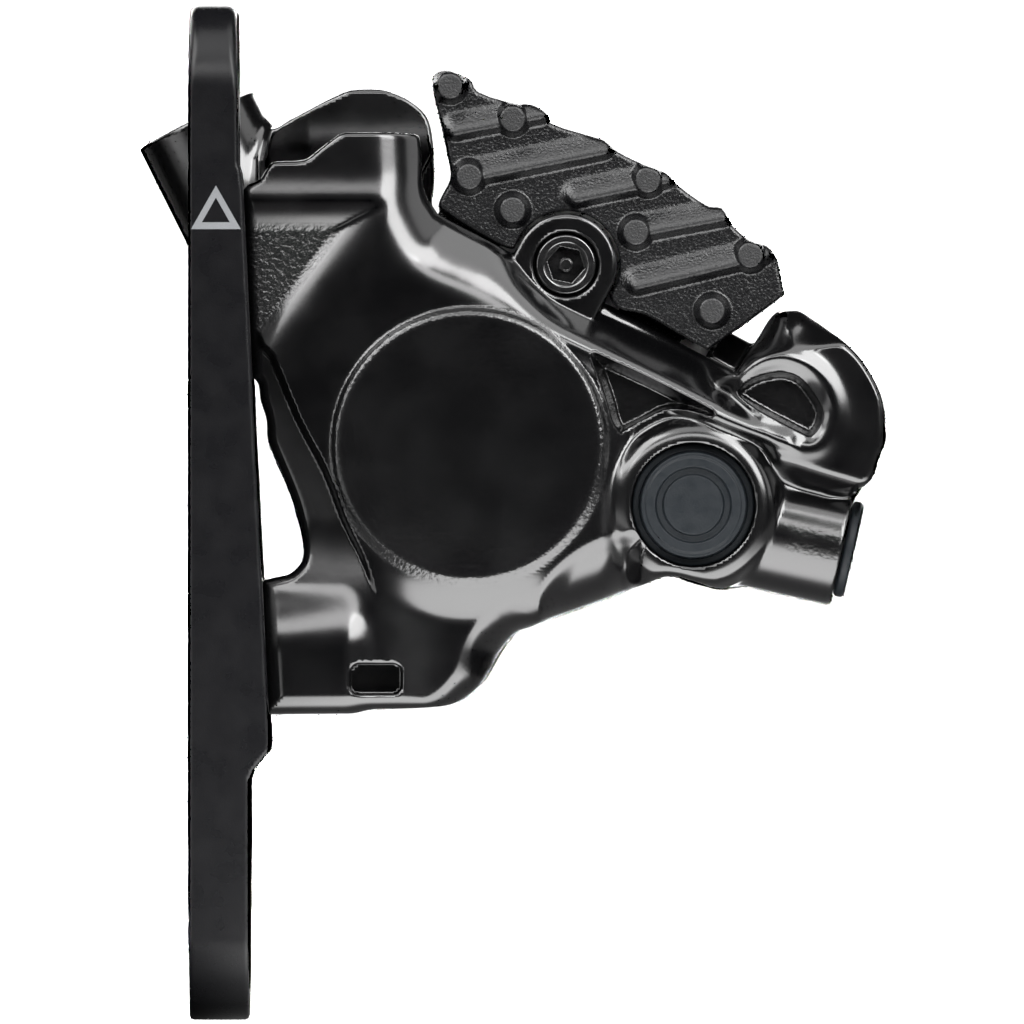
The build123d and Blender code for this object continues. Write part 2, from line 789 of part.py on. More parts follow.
# ---------------------------------------------------------------- bleed nipple and cap
nd = NIPPLE_DIR
nipple = add(
    cyl(along(NIPPLE_END, NIPPLE_DIR, -9.2), nd, 2.5, 4.0),
    cyl(along(NIPPLE_END, NIPPLE_DIR, -5.2), nd, 3.1, 1.2),
    cyl(along(NIPPLE_END, NIPPLE_DIR, -4.2), nd, 1.7, 3.4),
    cone(along(NIPPLE_END, NIPPLE_DIR, -2.2), nd, 2.05, 1.5, 1.4),
)
nipple = sub(nipple, cyl(along(NIPPLE_END, NIPPLE_DIR, -10), nd, 0.8, 14))
save("bleed_nipple", nipple)

ncap = add(
    cyl(along(NIPPLE_END, NIPPLE_DIR, 0.05), nd, 4.45, 1.0),
    cyl(along(NIPPLE_END, NIPPLE_DIR, -3.3), nd, 3.84, 3.6),
)
ncap = sub(
    ncap,
    cyl(along(NIPPLE_END, NIPPLE_DIR, -4.0), nd, 2.45, 3.8),
)
save("bleed_nipple_cap", ncap)
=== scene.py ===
import math

import bpy
import numpy as np
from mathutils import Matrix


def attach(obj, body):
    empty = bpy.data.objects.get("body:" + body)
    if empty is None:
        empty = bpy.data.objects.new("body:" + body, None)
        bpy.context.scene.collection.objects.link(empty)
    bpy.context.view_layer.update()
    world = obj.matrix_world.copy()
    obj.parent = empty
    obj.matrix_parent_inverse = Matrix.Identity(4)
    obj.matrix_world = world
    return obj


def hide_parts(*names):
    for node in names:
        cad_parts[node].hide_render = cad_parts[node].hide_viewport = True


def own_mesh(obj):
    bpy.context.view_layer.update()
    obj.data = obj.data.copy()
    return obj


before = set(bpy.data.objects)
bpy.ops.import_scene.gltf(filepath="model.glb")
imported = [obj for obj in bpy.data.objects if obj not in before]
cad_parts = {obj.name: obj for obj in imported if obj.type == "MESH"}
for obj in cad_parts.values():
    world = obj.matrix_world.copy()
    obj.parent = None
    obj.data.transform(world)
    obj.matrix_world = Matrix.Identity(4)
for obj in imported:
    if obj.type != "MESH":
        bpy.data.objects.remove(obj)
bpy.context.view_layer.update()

import openvdb
from mathutils import Vector

MM = 0.001
scene = bpy.context.scene

# ============================================================ directions and places, in mm
RX, RZ = -6.7, -54.8                      # wheel axle
_t = math.atan2(0.883, 0.469)
ERX, ERZ = math.cos(_t), math.sin(_t)     # away from the wheel axle
ETX, ETZ = ERZ, -ERX                      # tangent
PX, PZ = RX + 68.9 * ERX, RZ + 68.9 * ERZ     # piston axis
AX, AZ = RX + 87.8 * ERX, RZ + 87.8 * ERZ     # pad axle
BX, BZ = 46.15, 0.69                      # bleed screw
NE = (59.85, 1.0, -3.25)                  # nipple end
ND = (0.9763, -0.2164)
HM = (0.43, 20.5, 36.41)                  # hose mouth
HD = (-0.4472, 0.8944)
MID = 13.0


def ur(u, r):
    return (RX + u * ETX + r * ERX, RZ + u * ETZ + r * ERZ)


def wedge(z):
    return 4.95 + (29.6 - z) * 0.048723


# ============================================================ field helpers
def poly(px, pz, pts):
    """Signed distance to a closed outline in X-Z, negative inside."""
    px, pz = np.broadcast_arrays(px, pz)
    shape = px.shape
    px = np.ascontiguousarray(px).reshape(-1)
    pz = np.ascontiguousarray(pz).reshape(-1)
    d2 = np.full(px.shape, 1e9)
    inside = np.zeros(px.shape, bool)
    n = len(pts)
    for i in range(n):
        ax, az = pts[i]
        bx, bz = pts[(i + 1) % n]
        ex, ez = bx - ax, bz - az
        ll = ex * ex + ez * ez
        if ll < 1e-12:
            continue
        wx, wz = px - ax, pz - az
        t = np.clip((wx * ex + wz * ez) / ll, 0, 1)
        d2 = np.minimum(d2, (wx - t * ex) ** 2 + (wz - t * ez) ** 2)
        if az != bz:
            c = ((az > pz) != (bz > pz)) & (px < ex * (pz - az) / ez + ax)
            inside ^= c
    d = np.sqrt(d2)
    return np.where(inside, -d, d).reshape(shape)


def line(px, pz, pts):
    """Distance to an open line and the share of the way along it."""
    px, pz = np.broadcast_arrays(px, pz)
    d2 = np.full(px.shape, 1e9)
    where = np.zeros(px.shape)
    lengths = [math.hypot(b[0] - a[0], b[1] - a[1]) for a, b in zip(pts, pts[1:])]
    total, done = sum(lengths), 0.0
    for (a, b), ln in zip(zip(pts, pts[1:]), lengths):
        ex, ez = b[0] - a[0], b[1] - a[1]
        wx, wz = px - a[0], pz - a[1]
        t = np.clip((wx * ex + wz * ez) / (ln * ln), 0, 1)
        q = (wx - t * ex) ** 2 + (wz - t * ez) ** 2
        near = q < d2
        where = np.where(near, (done + t * ln) / total, where)
        d2 = np.where(near, q, d2)
        done += ln
    return np.sqrt(d2), where


def smooth(pts, corners=(), closed=True, sub=4):
    """Catmull-Rom line through the points; the corner ones stay sharp."""
    n = len(pts)
    out = []
    last = n if closed else n - 1
    for i in range(last):
        p0, p1 = pts[(i - 1) % n], pts[i]
        p2, p3 = pts[(i + 1) % n], pts[(i + 2) % n]
        if not closed and i == 0:
            p0 = p1
        if not closed and i == last - 1:
            p3 = p2
        ln = math.hypot(p2[0] - p1[0], p2[1] - p1[1])

        def tangent(a, b, c):
            la = math.hypot(b[0] - a[0], b[1] - a[1]) or 1e-9
            lc = math.hypot(c[0] - b[0], c[1] - b[1]) or 1e-9
            k = ln / (la + lc)
            return ((c[0] - a[0]) * k, (c[1] - a[1]) * k)

        chord = (p2[0] - p1[0], p2[1] - p1[1])
        m1 = chord if i in corners else tangent(p0, p1, p2)
        m2 = chord if (i + 1) % n in corners else tangent(p1, p2, p3)
        for k in range(sub):
            t = k / sub
            h00, h10 = 2 * t**3 - 3 * t**2 + 1, t**3 - 2 * t**2 + t
            h01, h11 = -2 * t**3 + 3 * t**2, t**3 - t**2
            out.append(
                (
                    h00 * p1[0] + h10 * m1[0] + h01 * p2[0] + h11 * m2[0],
                    h00 * p1[1] + h10 * m1[1] + h01 * p2[1] + h11 * m2[1],
                )
            )
    if not closed:
        out.append(pts[-1])
    return out


def smin(a, b, k):
    h = np.clip(0.5 + 0.5 * (b - a) / k, 0, 1)
    return b + (a - b) * h - k * h * (1 - h)


def smax(a, b, k):
    return -smin(-a, -b, k)


def rmax(a, b, r):
    """Intersection with a round edge of radius r."""
    return np.minimum(np.maximum(a + r, b + r), 0) + np.hypot(np.maximum(a + r, 0), np.maximum(b + r, 0)) - r


def rmin(a, b, r):
    return -rmax(-a, -b, r)


def cut(a, b, r=0.25):
    """a without b, with a round edge."""
    return rmax(a, -b, r)


def step(a, b, v):
    t = np.clip((v - a) / (b - a), 0, 1)
    return t * t * (3 - 2 * t)


def near(px, pz, cx, cz, r0, r1):
    """1 within r0 of a point, 0 beyond r1."""
    return 1 - step(r0, r1, np.hypot(px - cx, pz - cz))


def slab(y, y0, y1):
    return np.maximum(y0 - y, y - y1)


def cyl_y(x, z, cx, cz, r):
    return np.hypot(x - cx, z - cz) - r


def cyl_d(x, y, z, p, d, r, t0, t1, e=0.3):
    """Cylinder along the X-Z direction d through p, from t0 to t1."""
    rx, ry, rz = x - p[0], y - p[1], z - p[2]
    t = rx * d[0] + rz * d[1]
    q = rx * -d[1] + rz * d[0]
    return rmax(np.hypot(q, ry) - r, np.maximum(t0 - t, t - t1), e)


def box_ur(u, r, u0, u1, r0, r1, e=0.0):
    a, b = np.maximum(u0 - u, u - u1), np.maximum(r0 - r, r - r1)
    return np.maximum(a, b) if e == 0 else rmax(a, b, e)


class Lattice:
    """A function of X-Z kept on a fine lattice, blurred, and read back smoothly."""

    def __init__(self, x0, x1, z0, z1, pitch=0.1):
        self.x0, self.z0, self.p = x0, z0, pitch
        self.xs = x0 + pitch * np.arange(int((x1 - x0) / pitch) + 1)
        self.zs = z0 + pitch * np.arange(int((z1 - z0) / pitch) + 1)
        self.X, self.Z = self.xs[:, None] + 0 * self.zs[None, :], 0 * self.xs[:, None] + self.zs[None, :]

    def blur(self, a, sigma):
        s = sigma / self.p
        n = max(1, int(math.ceil(3 * s)))
        k = np.exp(-0.5 * (np.arange(-n, n + 1) / s) ** 2)
        k /= k.sum()
        for axis in (0, 1):
            pad = [(0, 0), (0, 0)]
            pad[axis] = (n, n)
            q = np.pad(a, pad, mode="edge")
            out = np.zeros_like(a)
            m = a.shape[axis]
            for i, w in enumerate(k):
                out += w * (q[i : i + m] if axis == 0 else q[:, i : i + m])
            a = out
        return a

    def read(self, a, x, z):
        fx = np.clip((x - self.x0) / self.p, 0, a.shape[0] - 1.001)
        fz = np.clip((z - self.z0) / self.p, 0, a.shape[1] - 1.001)
        fx, fz = np.broadcast_arrays(fx, fz)
        i, k = fx.astype(int), fz.astype(int)
        tx, tz = fx - i, fz - k
        return (
            (a[i, k] * (1 - tx) + a[i + 1, k] * tx) * (1 - tz)
            + (a[i, k + 1] * (1 - tx) + a[i + 1, k + 1] * tx) * tz
        )


# ============================================================ meshes from fields
def sculpt(name, field, lo, hi, voxel, body, nodes, mats, marks=None, pick=None):
    lo, hi = np.array(lo, float), np.array(hi, float)
    n = np.ceil((hi - lo) / voxel).astype(int) + 1
    ax = [lo[i] + voxel * np.arange(n[i]) for i in range(3)]
    f = field(ax[0][:, None, None], ax[1][None, :, None], ax[2][None, None, :])
    f = np.ascontiguousarray(np.clip(np.broadcast_to(f, tuple(n)), -4 * voxel, 4 * voxel).astype(np.float32))
    for i in range(3):
        for side in (0, -1):
            s = [slice(None)] * 3
            s[i] = side
            f[tuple(s)] = np.maximum(f[tuple(s)], voxel)
    grid = openvdb.FloatGrid(4 * voxel)
    grid.copyFromArray(f)
    pts, tris, quads = grid.convertToPolygons(0.0, 0.0)
    p = pts.astype(float) * voxel + lo
    h = 0.07

    def slope(q):
        g = np.empty_like(q)
        for i in range(3):
            a, b = q.copy(), q.copy()
            a[:, i] += h
            b[:, i] -= h
            g[:, i] = field(a[:, 0], a[:, 1], a[:, 2]) - field(b[:, 0], b[:, 1], b[:, 2])
        return g / (2 * h)

    for _ in range(2):
        g = slope(p)
        v = field(p[:, 0], p[:, 1], p[:, 2])
        move = g * (v / np.maximum((g * g).sum(1), 0.2))[:, None]
        size = np.linalg.norm(move, axis=1)[:, None]
        p -= move * np.minimum(1, 0.35 * voxel / np.maximum(size, 1e-9))
    g = slope(p)
    normals = g / np.maximum(np.linalg.norm(g, axis=1)[:, None], 1e-9)

    quads = np.asarray(quads, int)
    a, b, c = p[quads[:, 0]], p[quads[:, 1]], p[quads[:, 2]]
    d = p[quads[:, 3]]
    fn = np.cross(c - a, d - b)
    if (fn * normals[quads[:, 0]]).sum() < 0:
        quads = quads[:, ::-1]
    keep, quads = largest_parts(len(p), quads)
    p, normals = p[keep], normals[keep]

    mesh = bpy.data.meshes.new(name)
    mesh.vertices.add(len(p))
    mesh.vertices.foreach_set("co", (p * MM).astype(np.float32).ravel())
    mesh.loops.add(len(quads) * 4)
    mesh.loops.foreach_set("vertex_index", quads.astype(np.int32).ravel())
    mesh.polygons.add(len(quads))
    mesh.polygons.foreach_set("loop_start", (np.arange(len(quads)) * 4).astype(np.int32))
    mesh.polygons.foreach_set("loop_total", np.full(len(quads), 4, np.int32))
    mesh.update(calc_edges=True)
    mesh.validate()
    mesh.shade_smooth()
    if len(mesh.vertices) == len(normals):
        mesh.normals_split_custom_set_from_vertices([tuple(v) for v in normals])
    for key, fn_mark in (marks or {}).items():
        w = np.clip(fn_mark(p[:, 0], p[:, 1], p[:, 2], normals), 0, 1).astype(np.float32)
        at = mesh.attributes.new(key, "FLOAT", "POINT")
        at.data.foreach_set("value", w)
    obj = bpy.data.objects.new(name, mesh)
    scene.collection.objects.link(obj)
    for m in mats if isinstance(mats, (list, tuple)) else [mats]:
        mesh.materials.append(m)
    if pick is not None:
        centre = p[quads].mean(axis=1)
        mesh.polygons.foreach_set("material_index", pick(centre).astype(np.int32))
    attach(obj, body)
    if nodes:
        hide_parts(*nodes)
    print("sculpt", name, len(p), "verts", len(quads), "quads")
    return obj


def largest_parts(count, quads):
    """Drops loose crumbs: keeps every connected part of more than 2% of the faces."""
    label = np.arange(count)
    while True:
        low = label[quads].min(axis=1)
        new = label.copy()
        for k in range(4):
            np.minimum.at(new, quads[:, k], low)
        new = new[new]
        if (new == label).all():
            break
        label = new
    face = label[quads[:, 0]]
    names, sizes = np.unique(face, return_counts=True)
    good = names[sizes > 0.02 * len(quads)]
    quads = quads[np.isin(face, good)]
    used = np.zeros(count, bool)
    used[quads.ravel()] = True
    remap = np.cumsum(used) - 1
    return np.nonzero(used)[0], remap[quads]


# ============================================================ materials
def new_mat(name):
    m = bpy.data.materials.new(name)
    m.use_nodes = True
    m.node_tree.nodes.clear()
    return m, m.node_tree.nodes, m.node_tree.links


def paint(
    name,
    color,
    rough,
    metallic=0.0,
    ior=1.5,
    coat=0.0,
    coat_rough=0.05,
    noise=(),
    rough_noise=None,
    tint=None,
    spec=0.5,
    grain=None,
    wear=None,
):
    """Node material: colour mottling, bump from one or more noises, roughness variation, grain by mask."""
    m, nodes, links = new_mat(name)
    out = nodes.new("ShaderNodeOutputMaterial")
    bsdf = nodes.new("ShaderNodeBsdfPrincipled")
    links.new(bsdf.outputs["BSDF"], out.inputs["Surface"])
    bsdf.inputs["Metallic"].default_value = metallic
    bsdf.inputs["IOR"].default_value = ior
    bsdf.inputs["Specular IOR Level"].default_value = spec
    bsdf.inputs["Coat Weight"].default_value = coat
    bsdf.inputs["Coat Roughness"].default_value = coat_rough
    coord = nodes.new("ShaderNodeTexCoord")

    def tex(scale, detail=2.0, rough_=0.5, kind="noise"):
        t = nodes.new("ShaderNodeTexNoise" if kind == "noise" else "ShaderNodeTexVoronoi")
        t.inputs["Scale"].default_value = scale
        if kind == "noise":
            t.inputs["Detail"].default_value = detail
            t.inputs["Roughness"].default_value = rough_
            out_ = t.outputs["Fac"]
        else:
            out_ = t.outputs["Distance"]
        links.new(coord.outputs["Object"], t.inputs["Vector"])
        return out_

    def ramp(src, lo, hi, v0, v1):
        r = nodes.new("ShaderNodeMapRange")
        r.inputs["From Min"].default_value = lo
        r.inputs["From Max"].default_value = hi
        r.inputs["To Min"].default_value = v0
        r.inputs["To Max"].default_value = v1
        links.new(src, r.inputs["Value"])
        return r.outputs["Result"]

    # colour
    mix = nodes.new("ShaderNodeMix")
    mix.data_type = "RGBA"
    mix.inputs["A"].default_value = (*color, 1)
    t = tint or tuple(min(1, c * 1.5 + 0.001) for c in color)
    mix.inputs["B"].default_value = (*t, 1)
    links.new(tex(900 if not noise else noise[0][0], 3.0), mix.inputs["Factor"])
    last_color = mix.outputs["Result"]
    # roughness
    rn = rough_noise or (250.0, rough * 0.85, rough * 1.15)
    last_rough = ramp(tex(rn[0], 3.0), 0.35, 0.65, rn[1], rn[2])
    mask = None
    if grain:
        at = nodes.new("ShaderNodeAttribute")
        at.attribute_name = grain["mask"]
        mask = at.outputs["Fac"]
        mr = nodes.new("ShaderNodeMix")
        mr.data_type = "FLOAT"
        links.new(mask, mr.inputs["Factor"])
        links.new(last_rough, mr.inputs["A"])
        mr.inputs["B"].default_value = grain["rough"]
        last_rough = mr.outputs["Result"]
    links.new(last_color, bsdf.inputs["Base Color"])
    links.new(last_rough, bsdf.inputs["Roughness"])
    # bump
    normal = None
    for scale, height, detail in noise:
        b = nodes.new("ShaderNodeBump")
        b.inputs["Distance"].default_value = height
        b.inputs["Strength"].default_value = 1.0
        links.new(tex(scale, detail), b.inputs["Height"])
        if normal:
            links.new(normal, b.inputs["Normal"])
        normal = b.outputs["Normal"]
    if grain:
        b = nodes.new("ShaderNodeBump")
        b.inputs["Distance"].default_value = grain["height"]
        mul = nodes.new("ShaderNodeMath")
        mul.operation = "MULTIPLY"
        links.new(mask, mul.inputs[0])
        links.new(tex(grain["scale"], grain.get("detail", 2.0)), mul.inputs[1])
        links.new(mul.outputs[0], b.inputs["Height"])
        if normal:
            links.new(normal, b.inputs["Normal"])
        normal = b.outputs["Normal"]
    if normal:
        links.new(normal, bsdf.inputs["Normal"])
    return m


GLOSS = paint(
    "gloss_black",
    (0.0007, 0.0007, 0.0008),
    0.18,
    tint=(0.0011, 0.0011, 0.0012),
    noise=((1500.0, 0.0000022, 1.0),),
    rough_noise=(220.0, 0.155, 0.20),
    grain={"mask": "grain", "rough": 0.26, "scale": 2600.0, "height": 0.00011, "detail": 2.0},
)
PLATE = paint("matte_black", (0.0014, 0.0014, 0.0017), 0.29, spec=0.14, tint=(0.0022, 0.0022, 0.0026), noise=((7000.0, 0.000010, 2.0),), rough_noise=(400.0, 0.26, 0.32))
FIN = paint("fin_black", (0.0010, 0.0010, 0.0012), 0.27, spec=0.32, tint=(0.0018, 0.0018, 0.0021), noise=((4800.0, 0.000055, 1.0),), rough_noise=(6500.0, 0.262, 0.28),
            grain={"mask": "grain", "rough": 0.48, "scale": 6500.0, "height": 0.00003, "detail": 1.5})
RUBBER = paint("cap_rubber", (0.0024, 0.0034, 0.0044), 0.45, spec=0.12, tint=(0.0040, 0.0052, 0.0064), noise=((5000.0, 0.000012, 2.0),), rough_noise=(900.0, 0.42, 0.6))
SEAL = paint("seal_rubber", (0.006, 0.006, 0.006), 0.45, noise=((3000.0, 0.00001, 2.0),))
DARK = paint("dark_steel", (0.003, 0.003, 0.0031), 0.16, spec=0.75, noise=((2500.0, 0.000004, 3.0),), rough_noise=(900.0, 0.11, 0.2))
STEEL = paint("bare_steel", (0.55, 0.55, 0.54), 0.3, metallic=1.0, noise=((1800.0, 0.000008, 3.0),), rough_noise=(700.0, 0.24, 0.38))
RESIN = paint("piston_resin", (0.035, 0.03, 0.026), 0.4, noise=((2000.0, 0.00001, 2.0),))
LINING = paint("lining", (0.06, 0.055, 0.05), 0.85, noise=((1800.0, 0.00012, 4.0), (700.0, 0.0001, 3.0)), tint=(0.16, 0.13, 0.1))

# ============================================================ outlines
RIGHT_END = [
    (54.6, 18.6), (55.96, 18.6), (57.3, 17.8), (58.7, 16.7), (60.1, 15.55), (61.5, 14.1), (62.8, 12.06),
    (63.5, 10.3), (63.67, 8.5), (63.67, 6.65), (63.0, 4.8), (62.4, 3.0), (61.0, 1.9),
]
OUTLINE = (
    [(wedge(29.6), 29.6), (5.4, 30.05), (6.4, 30.5), (7.1, 31.6), (7.7, 32.1), (10.55, 32.3), (12.0, 33.35),
     (13.7, 34.6), (14.3, 34.8), (20.5, 34.7), (21.1, 34.3), (21.3, 30.4), (21.7, 29.0), (22.5, 27.75),
     ur(-12.6, 86.4), ur(18.4, 86.4), (52.3, 16.3), (53.6, 18.2)]
    + RIGHT_END
    + [(58.5, 1.0), (52.0, -5.0), (49.1, -7.0), (46.3, -6.4), (45.0, -6.0), (43.6, -5.9), (42.2, -6.4),
       (39.4, -7.5), (36.7, -8.5), (33.9, -9.5), (31.2, -10.5), (29.8, -11.15), (28.4, -13.0), (27.1, -15.3),
       (25.7, -16.7), (24.3, -17.5), (22.9, -17.8), (18.8, -18.0), (7.8, -18.1), (wedge(-18.1), -18.1),
       (wedge(-6.2), -6.2), (7.8, -5.9), (9.2, -5.55), (10.3, -4.36), (10.4, -2.5), (10.0, -0.7),
       (9.45, 1.15), (8.7, 3.0), (7.9, 4.8), (7.16, 6.65), (7.06, 8.5), (6.5, 10.3), (6.3, 11.8),
       (wedge(12.4), 12.4)]
)
N_TOP = 18 + len(RIGHT_END)
OUT_S = smooth(OUTLINE, corners={0, 14, 15, len(OUTLINE) - 1, N_TOP + 19, N_TOP + 20}, sub=3)
SEAM = [(6.3, 16.2), (6.70, 15.18), (7.52, 14.36), (10.0, 8.49), (12.48, 3.72), (14.22, -0.87), (15.87, -4.27),
        (17.25, -7.94), (18.17, -8.94), (20.55, -12.61), (21.93, -15.28), (23.6, -18.6)]
SEAM_S = smooth(SEAM, closed=False, sub=3)
MAIN_SIDE = SEAM_S + [(24.5, -30.0), (90.0, -30.0), (90.0, 60.0), (-20.0, 60.0), (-20.0, 16.2)]
CREST = smooth(
    [(17.6, 37.0), (17.8, 34.2), (18.35, 29.4), (19.2, 26.4), (21.1, 23.35), (25.9, 21.05), (29.7, 19.0),
     (33.9, 16.65), (42.7, 12.4), (49.3, 9.1), (55.6, 6.56)], closed=False, sub=4)
FLANK = CREST + [(62.0, 3.4), (95.0, 3.4), (95.0, 70.0), (17.4, 70.0)]
RAIL = [p for p in CREST if p[0] > 20.5]
LOOP = smooth([(47.6, 10.9), (49.0, 12.3), (50.8, 13.25), (53.85, 14.2), (55.8, 13.85), (57.4, 12.9), (58.6, 11.25),
               (59.2, 9.3), (58.8, 7.5), (57.6, 6.1), (56.0, 5.9), (54.8, 6.7)], closed=False, sub=4)
POCKET_D = smooth([(49.85, 11.05), (51.8, 12.25), (54.0, 12.75), (55.6, 12.4), (56.8, 11.25), (57.9, 9.3),
                   (57.6, 7.9), (56.8, 7.05), (56.2, 7.3), (53.0, 8.95), (50.5, 10.4)], corners={0, 8}, sub=3)
POCKET_F = smooth([(37.1, 14.3), (41.9, 12.1), (45.9, 10.1), (47.7, 9.1), (45.9, 9.5), (43.5, 9.3), (41.9, 8.5),
                   (40.3, 7.7), (39.5, 7.3), (38.9, 8.5), (38.5, 10.1), (37.7, 12.5)], corners={0, 3, 8}, sub=3)
CORNER = [(54.2, 4.9), (52.0, 8.6), (50.6, 12.4), (53.4, 15.2), (54.0, 17.0), (54.2, 20.5), (72.0, 20.5), (72.0, 0.4), (61.6, 2.7)]
TRIANGLE = [(3.0, 25.75), (13.0, 25.75), (6.6, 17.2), (3.0, 12.4)]


L = Lattice(3.0, 66.0, -21.0, 42.0)


def outboard_maps():
    """Height of the outboard face towards the viewer, outline distance and edge radius, over X-Z."""
    x, z = L.X, L.Z
    crest = -poly(x, z, FLANK)                        # > 0 on the fins' side
    seam = -poly(x, z, MAIN_SIDE)                     # > 0 on the piston side of the seam
    disc = np.hypot(x - PX, z - PZ)
    bleed = np.hypot(x - BX, z - BZ)
    h = np.full(x.shape, 5.3)
    # the upper arm leans back a little above its bolt
    h = h - 0.045 * np.maximum(z - 27.5, 0) - 0.26 * step(28.2, 31.2, z)
    # ground between the disc, the rail and the bleed boss is lower, and falls away past it
    below = 1 - step(-2.1, -0.8, crest)
    h = h + 0.45 * step(27.0, 40.0, x) * step(-2.6, -0.9, crest)
    h = h - below * (1.75 * step(37.6, 41.0, x) + 1.3 * step(47.5, 52.5, x) + 0.5 * np.maximum(x - 56.5, 0))
    # shoulder under the disc
    under = step(16.0, 24.0, x) * (1 - step(-4.5, -0.5, z)) * (1 - step(29.0, 35.0, x))
    h = h - 0.47 * under * L.blur(np.clip(disc - 12.8, 0, 2.8), 0.45)
    # flank from the crest down to the fins, steeper away from the crest
    cr = np.maximum(crest, 0)
    s_ = step(27.0, 34.0, x)
    flat = 5.36 + 0.45 * step(27.0, 40.0, x) - (0.80 + 0.35 * s_ + 0.60 * step(29.0, 34.0, x)) * crest - 0.10 * s_ * cr * cr
    h = smin(h, np.maximum(flat, -0.4), 1.7 - 0.5 * step(27.0, 40.0, x))
    # corner over the body bolt, with the ridge round its pocket
    cd = poly(x, z, CORNER)
    d, t = line(x, z, LOOP)
    h = h - 3.0 * step(54.8, 57.6, x)
    corner = 5.10 - 0.004 * np.maximum(np.hypot(x - 56.0, z - 9.0) - 3.0, 0) ** 2 - 1.35 * np.maximum(cd, 0)
    corner = corner + (1.0 - 0.65 * step(0.25, 0.65, t)) * np.exp(-((d / 0.98) ** 2))
    h = smax(h, corner, 0.9)
    pd = poly(x, z, POCKET_D)
    h = smin(h, 5.00 + 1.05 * np.maximum(pd, 0), 0.6)
    # collar of the bleed screw
    col = 5.25 - 1.9 + np.sqrt(np.maximum(1.9**2 - np.maximum(bleed - 6.0, 0) ** 2, 0)) - 1.4 * np.maximum(bleed - 7.75, 0)
    h = smax(h, col, 1.0)
    # triangular recess by the upper foot
    tr = smax(z - 25.75, (x - 13.0) * 0.80 - (z - 25.75) * 0.60, 0.7)
    h = L.blur(h, 0.26)
    h = smin(h, 4.35 + np.maximum(tr, 0) * 0.54, 1.1)
    # pockets with crisp edges
    h = np.minimum(h, 3.0 + np.maximum(pd + 0.40, 0) * 4.2)
    h = np.minimum(h, 2.3 + np.maximum(poly(x, z, POCKET_F) + 0.45, 0) * 4.2)
    # left of the seam the face lies lower, leans towards the fork leg and rises to the foot
    low = 4.1 + 1.25 * (1 - step(-9.5, -0.5, z)) + 0.07 * np.minimum(seam, 0) * step(-14.0, -6.0, z)
    low = L.blur(low, 0.3)
    w = np.clip(0.5 + seam / 0.4, 0, 1)
    h = h * w + np.minimum(low, h) * (1 - w)
    h = L.blur(h, 0.06)
    sd = poly(x, z, OUT_S)
    rad = 0.9 + 0 * x
    rad = rad + 6.0 * near(x, z, 40.0, -8.5, 5.5, 10.0)
    rad = np.maximum(rad, 0.9 + 2.4 * near(x, z, 30.5, -9.5, 3.5, 8.5))
    rad = rad - (rad - 1.0) * near(x, z, 44.9, -6.0, 3.2, 5.4)
    rad = rad + 2.6 * near(x, z, 28.0, -15.5, 2.5, 7.0)
    rad = rad + 0.5 * near(x, z, 14.0, -18.0, 4.0, 10.0)
    rad = rad - 0.5 * near(x, z, 13.0, 35.0, 8.0, 11.0)
    rad = rad - 0.35 * near(x, z, 61.0, 9.0, 5.0, 8.0)
    rad = rad + 4.5 * near(x, z, 55.0, 19.2, 2.5, 6.5)
    return h, sd, rad


OUT_H, OUT_SD, OUT_RAD = outboard_maps()


